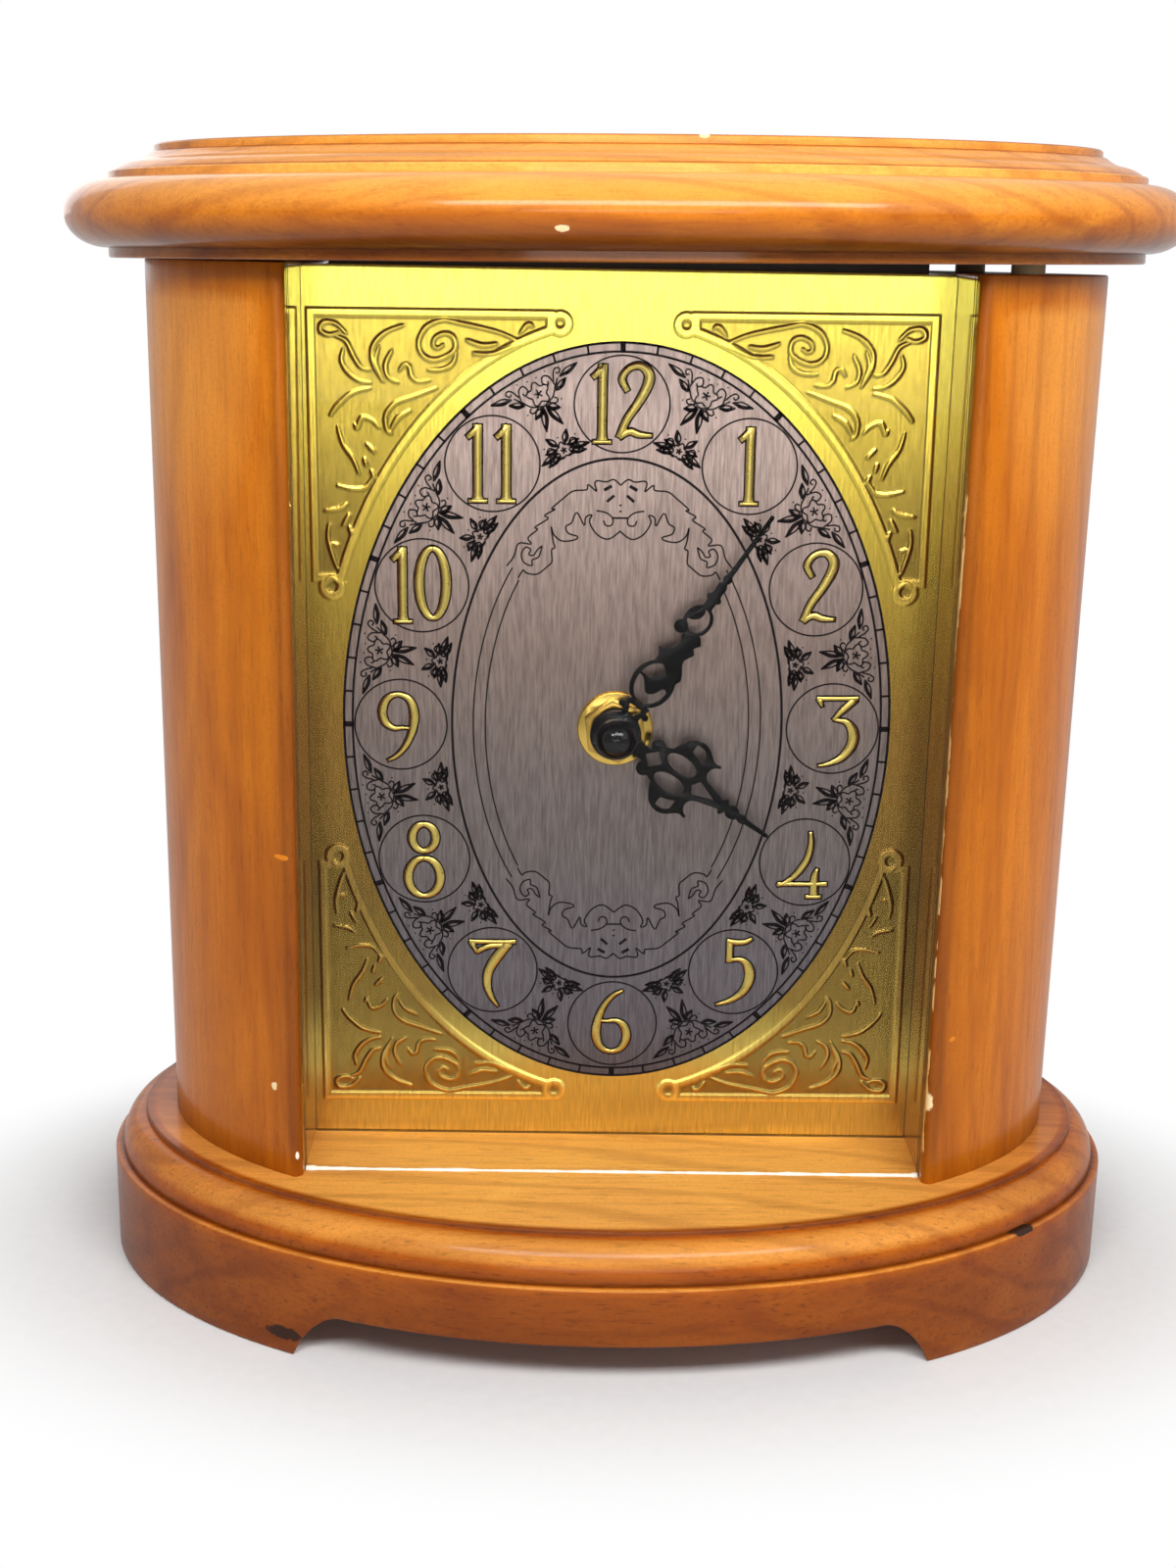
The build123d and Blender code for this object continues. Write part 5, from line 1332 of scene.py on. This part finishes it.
def make_light():
    """World and lamps."""
    world = bpy.data.worlds.new("studio")
    bpy.context.scene.world = world
    kit = Nodes(world)
    seen = seen_rays(kit, kit.axis("Y", "Generated"), -0.7, 0.1)
    kit.feed(kit.tree.nodes["Background"], {"Strength": kit.spread(seen, WORLD_LIGHT, 1.0), "Color": WHITE})
    for name, (place, aim, size, watts) in LAMPS.items():
        lamp = bpy.data.lights.new(name, "AREA")
        lamp.shape = "RECTANGLE"
        lamp.size, lamp.size_y = size
        lamp.energy = watts
        holder = placed(name, lamp)
        holder.location = Vector(place)
        holder.rotation_euler = (Vector(aim) - Vector(place)).to_track_quat("-Z", "Y").to_euler()


def make_camera():
    """Camera at the photograph's viewpoint."""
    pitch, yaw, roll = (math.radians(a) for a in (CAMERA_PITCH_DEG, CAMERA_YAW_DEG, CAMERA_ROLL_DEG))
    forward = Vector((math.sin(yaw) * math.cos(pitch), math.cos(yaw) * math.cos(pitch), -math.sin(pitch)))
    level = Vector((math.cos(yaw), -math.sin(yaw), 0.0))
    down = forward.cross(level)
    right = math.cos(roll) * level + math.sin(roll) * down
    below = -math.sin(roll) * level + math.cos(roll) * down
    camera = bpy.data.cameras.new("camera")
    camera.lens = CAMERA_LENS
    camera.sensor_width = CAMERA_SENSOR
    camera.clip_start = CAMERA_NEAR
    holder = placed("camera", camera)
    turn = Matrix((right, -below, -forward)).transposed().to_4x4()
    holder.matrix_world = Matrix.Translation(Vector(CAMERA_PLACE) * MM) @ turn
    bpy.context.scene.camera = holder


# The clock, piece by piece

BASE_LOOK = {"coat": 0.24, "gloss": 0.12, "figure": 0.32, "pore": 0.5}
BASE_WOOD = wood_material("base_wood", "X", BASE_MARKS, BASE_TONES, **BASE_LOOK)
TOP_WOOD = wood_material("top_wood", "X", TOP_MARKS, TOP_TONES, coat=0.45, gloss=0.12, figure=0.28)
CAP_WOOD = wood_material("cap_wood", "X", TOP_MARKS, TOP_TONES, coat=0.12, gloss=0.4, figure=0.28)
WALL_WOOD = wood_material("wall_wood", "Z", coat=1.0, gloss=0.07)
# Painted shadow for the slits in the grooves
GROOVE_PAINTED_SHADOW = plain_material("groove_painted_shadow", (0.05, 0.022, 0.008), 0.8)
# Pale bead colour, partly a painted highlight along the glass's foot
SEALANT_AND_HIGHLIGHT = plain_material("sealant", (0.90, 0.86, 0.74), 0.15, speckle=0.06)
BRASS = brushed_metal("dial_brass", SHEET_PAINTED_REFLECTION, 0.21, 0.25, CORNER_PAINTED_REFLECTION)
SILVER = brushed_metal("dial_silver", SILVER_PAINTED_REFLECTION, 0.34, 0.42)
GOLD = plain_material("numeral_gold", (0.50, 0.38, 0.10), 0.28, metallic=1.0, speckle=0.05)
INK = plain_material("dial_ink", (0.010, 0.007, 0.008), 0.6, speckle=0.2, scale=1500, specular=0.05)
BRIGHT_BRASS = plain_material("turned_brass", (0.62, 0.42, 0.10), 0.2, metallic=1.0, speckle=0.05)
NUT_BRASS = plain_material("nut_brass", (0.46, 0.29, 0.065), 0.26, metallic=1.0, speckle=0.08)
HAND_BLACK = plain_material("hand_black", (0.003, 0.0025, 0.0025), 0.22, specular=0.12)
CAP_BLACK = plain_material("cap_black", (0.006, 0.006, 0.007), 0.07, speckle=0.2, specular=0.25)

dress(make_base(), BASE_WOOD, "case", "case_wood", "base")
TOP = dress(make_top(), TOP_WOOD, "case", "case_wood", "top_board")
second_finish(TOP, CAP_WOOD, on_cap)
for side_name, side, edge_wear, marks in (("left", -1, 0.45, LEFT_MARKS), ("right", 1, 1.0, RIGHT_MARKS)):
    column = make_column("column_body_" + side_name, side, edge_wear)
    column_wood = wood_material("column_wood_" + side_name, "Z", marks)
    dress(column, column_wood, "case", "case_wood", "column_" + side_name)
    second_finish(column, WALL_WOOD, on_wall)
dress(make_groove_gaps(), GROOVE_PAINTED_SHADOW, "case", "case_wood")
dress(make_bead(), SEALANT_AND_HIGHLIGHT, "case", "clear_glass")

dress(make_sheet(), BRASS, "case", "dial_brass", "dial_plate")
dress(make_oval(), SILVER, "case", "dial_brass")
dress(make_print(), INK, "case", "dial_brass")
dress(make_numerals("numeral_edges", Inlay(OVAL_FACE - INK_LIFT), NUMERAL_EDGE), INK, "case", "dial_brass")
dress(make_numerals("numerals", Inlay(OVAL_FACE - 2 * INK_LIFT, NUMERAL_RISE)), GOLD, "case", "dial_brass")
for upper, height_name in ((-1, "low"), (1, "high")):
    for right, side_name in ((-1, "left"), (1, "right")):
        corner = make_corner("corner_" + side_name + "_" + height_name, right, upper)
        dress(corner, BRASS, "case", "dial_brass")

for node, name, bevel, look, body, slot in (
    ("minute_hand", "minute_hand_body", 0.16, HAND_BLACK, "minute_group", "hand_black"),
    ("hour_hand", "hour_hand_body", 0.16, HAND_BLACK, "hour_group", "hand_black"),
    ("dial_washer", "washer_body", 0.2, BRIGHT_BRASS, "case", "turned_brass"),
    ("hex_nut", "nut_body", 0.35, NUT_BRASS, "case", "turned_brass"),
):
    dress(bevelled_copy(node, name, bevel), look, body, slot, node)
dress(make_cap(), CAP_BLACK, "minute_group", "cap_black", "hand_nut")

# Looks of the CAD nodes that no piece stands for
PLAIN_SLOTS = {
    "dowel_wood": {"colour": (0.55, 0.38, 0.20), "roughness": 0.6},
    "hardboard": {"colour": (0.16, 0.085, 0.04), "roughness": 0.7, "speckle": 0.3, "scale": 900},
    "gasket_rubber": {"colour": (0.03, 0.03, 0.03), "roughness": 0.8},
    "movement_black": {"colour": (0.03, 0.03, 0.033), "roughness": 0.45, "speckle": 0.2, "scale": 2500},
    "wheel_plastic": {"colour": (0.80, 0.79, 0.74), "roughness": 0.4},
    "stator_steel": {"colour": (0.55, 0.55, 0.56), "roughness": 0.35, "metallic": 1.0},
    "coil_copper": {"colour": (0.72, 0.35, 0.16), "roughness": 0.35, "metallic": 1.0},
    "circuit_green": {"colour": (0.05, 0.20, 0.09), "roughness": 0.4},
}
SLOT_LOOKS = {slot: plain_material(slot, **look) for slot, look in PLAIN_SLOTS.items()}
SLOT_LOOKS.update(clear_glass=glass_material(), turned_brass=BRIGHT_BRASS, battery_wrap=battery_material())
# The dial board gets a darker copy of the hardboard as painted shade, for it lies in shadow
SHADED_BOARD = plain_material("dial_board_painted_shade", (0.022, 0.015, 0.011), 0.85, speckle=0.3, scale=900)
NODE_LOOKS = {"dial_board": SHADED_BOARD}
for part in frame["record"]["subparts"]:
    if part["node"] not in REPLACED:
        node = frame["nodes"][part["node"]]
        node.data.materials.clear()
        node.data.materials.append(NODE_LOOKS.get(part["node"], SLOT_LOOKS[part["material_slot"]]))

make_stage()
make_light()
make_camera()
bpy.context.scene.view_settings.view_transform = "Standard"
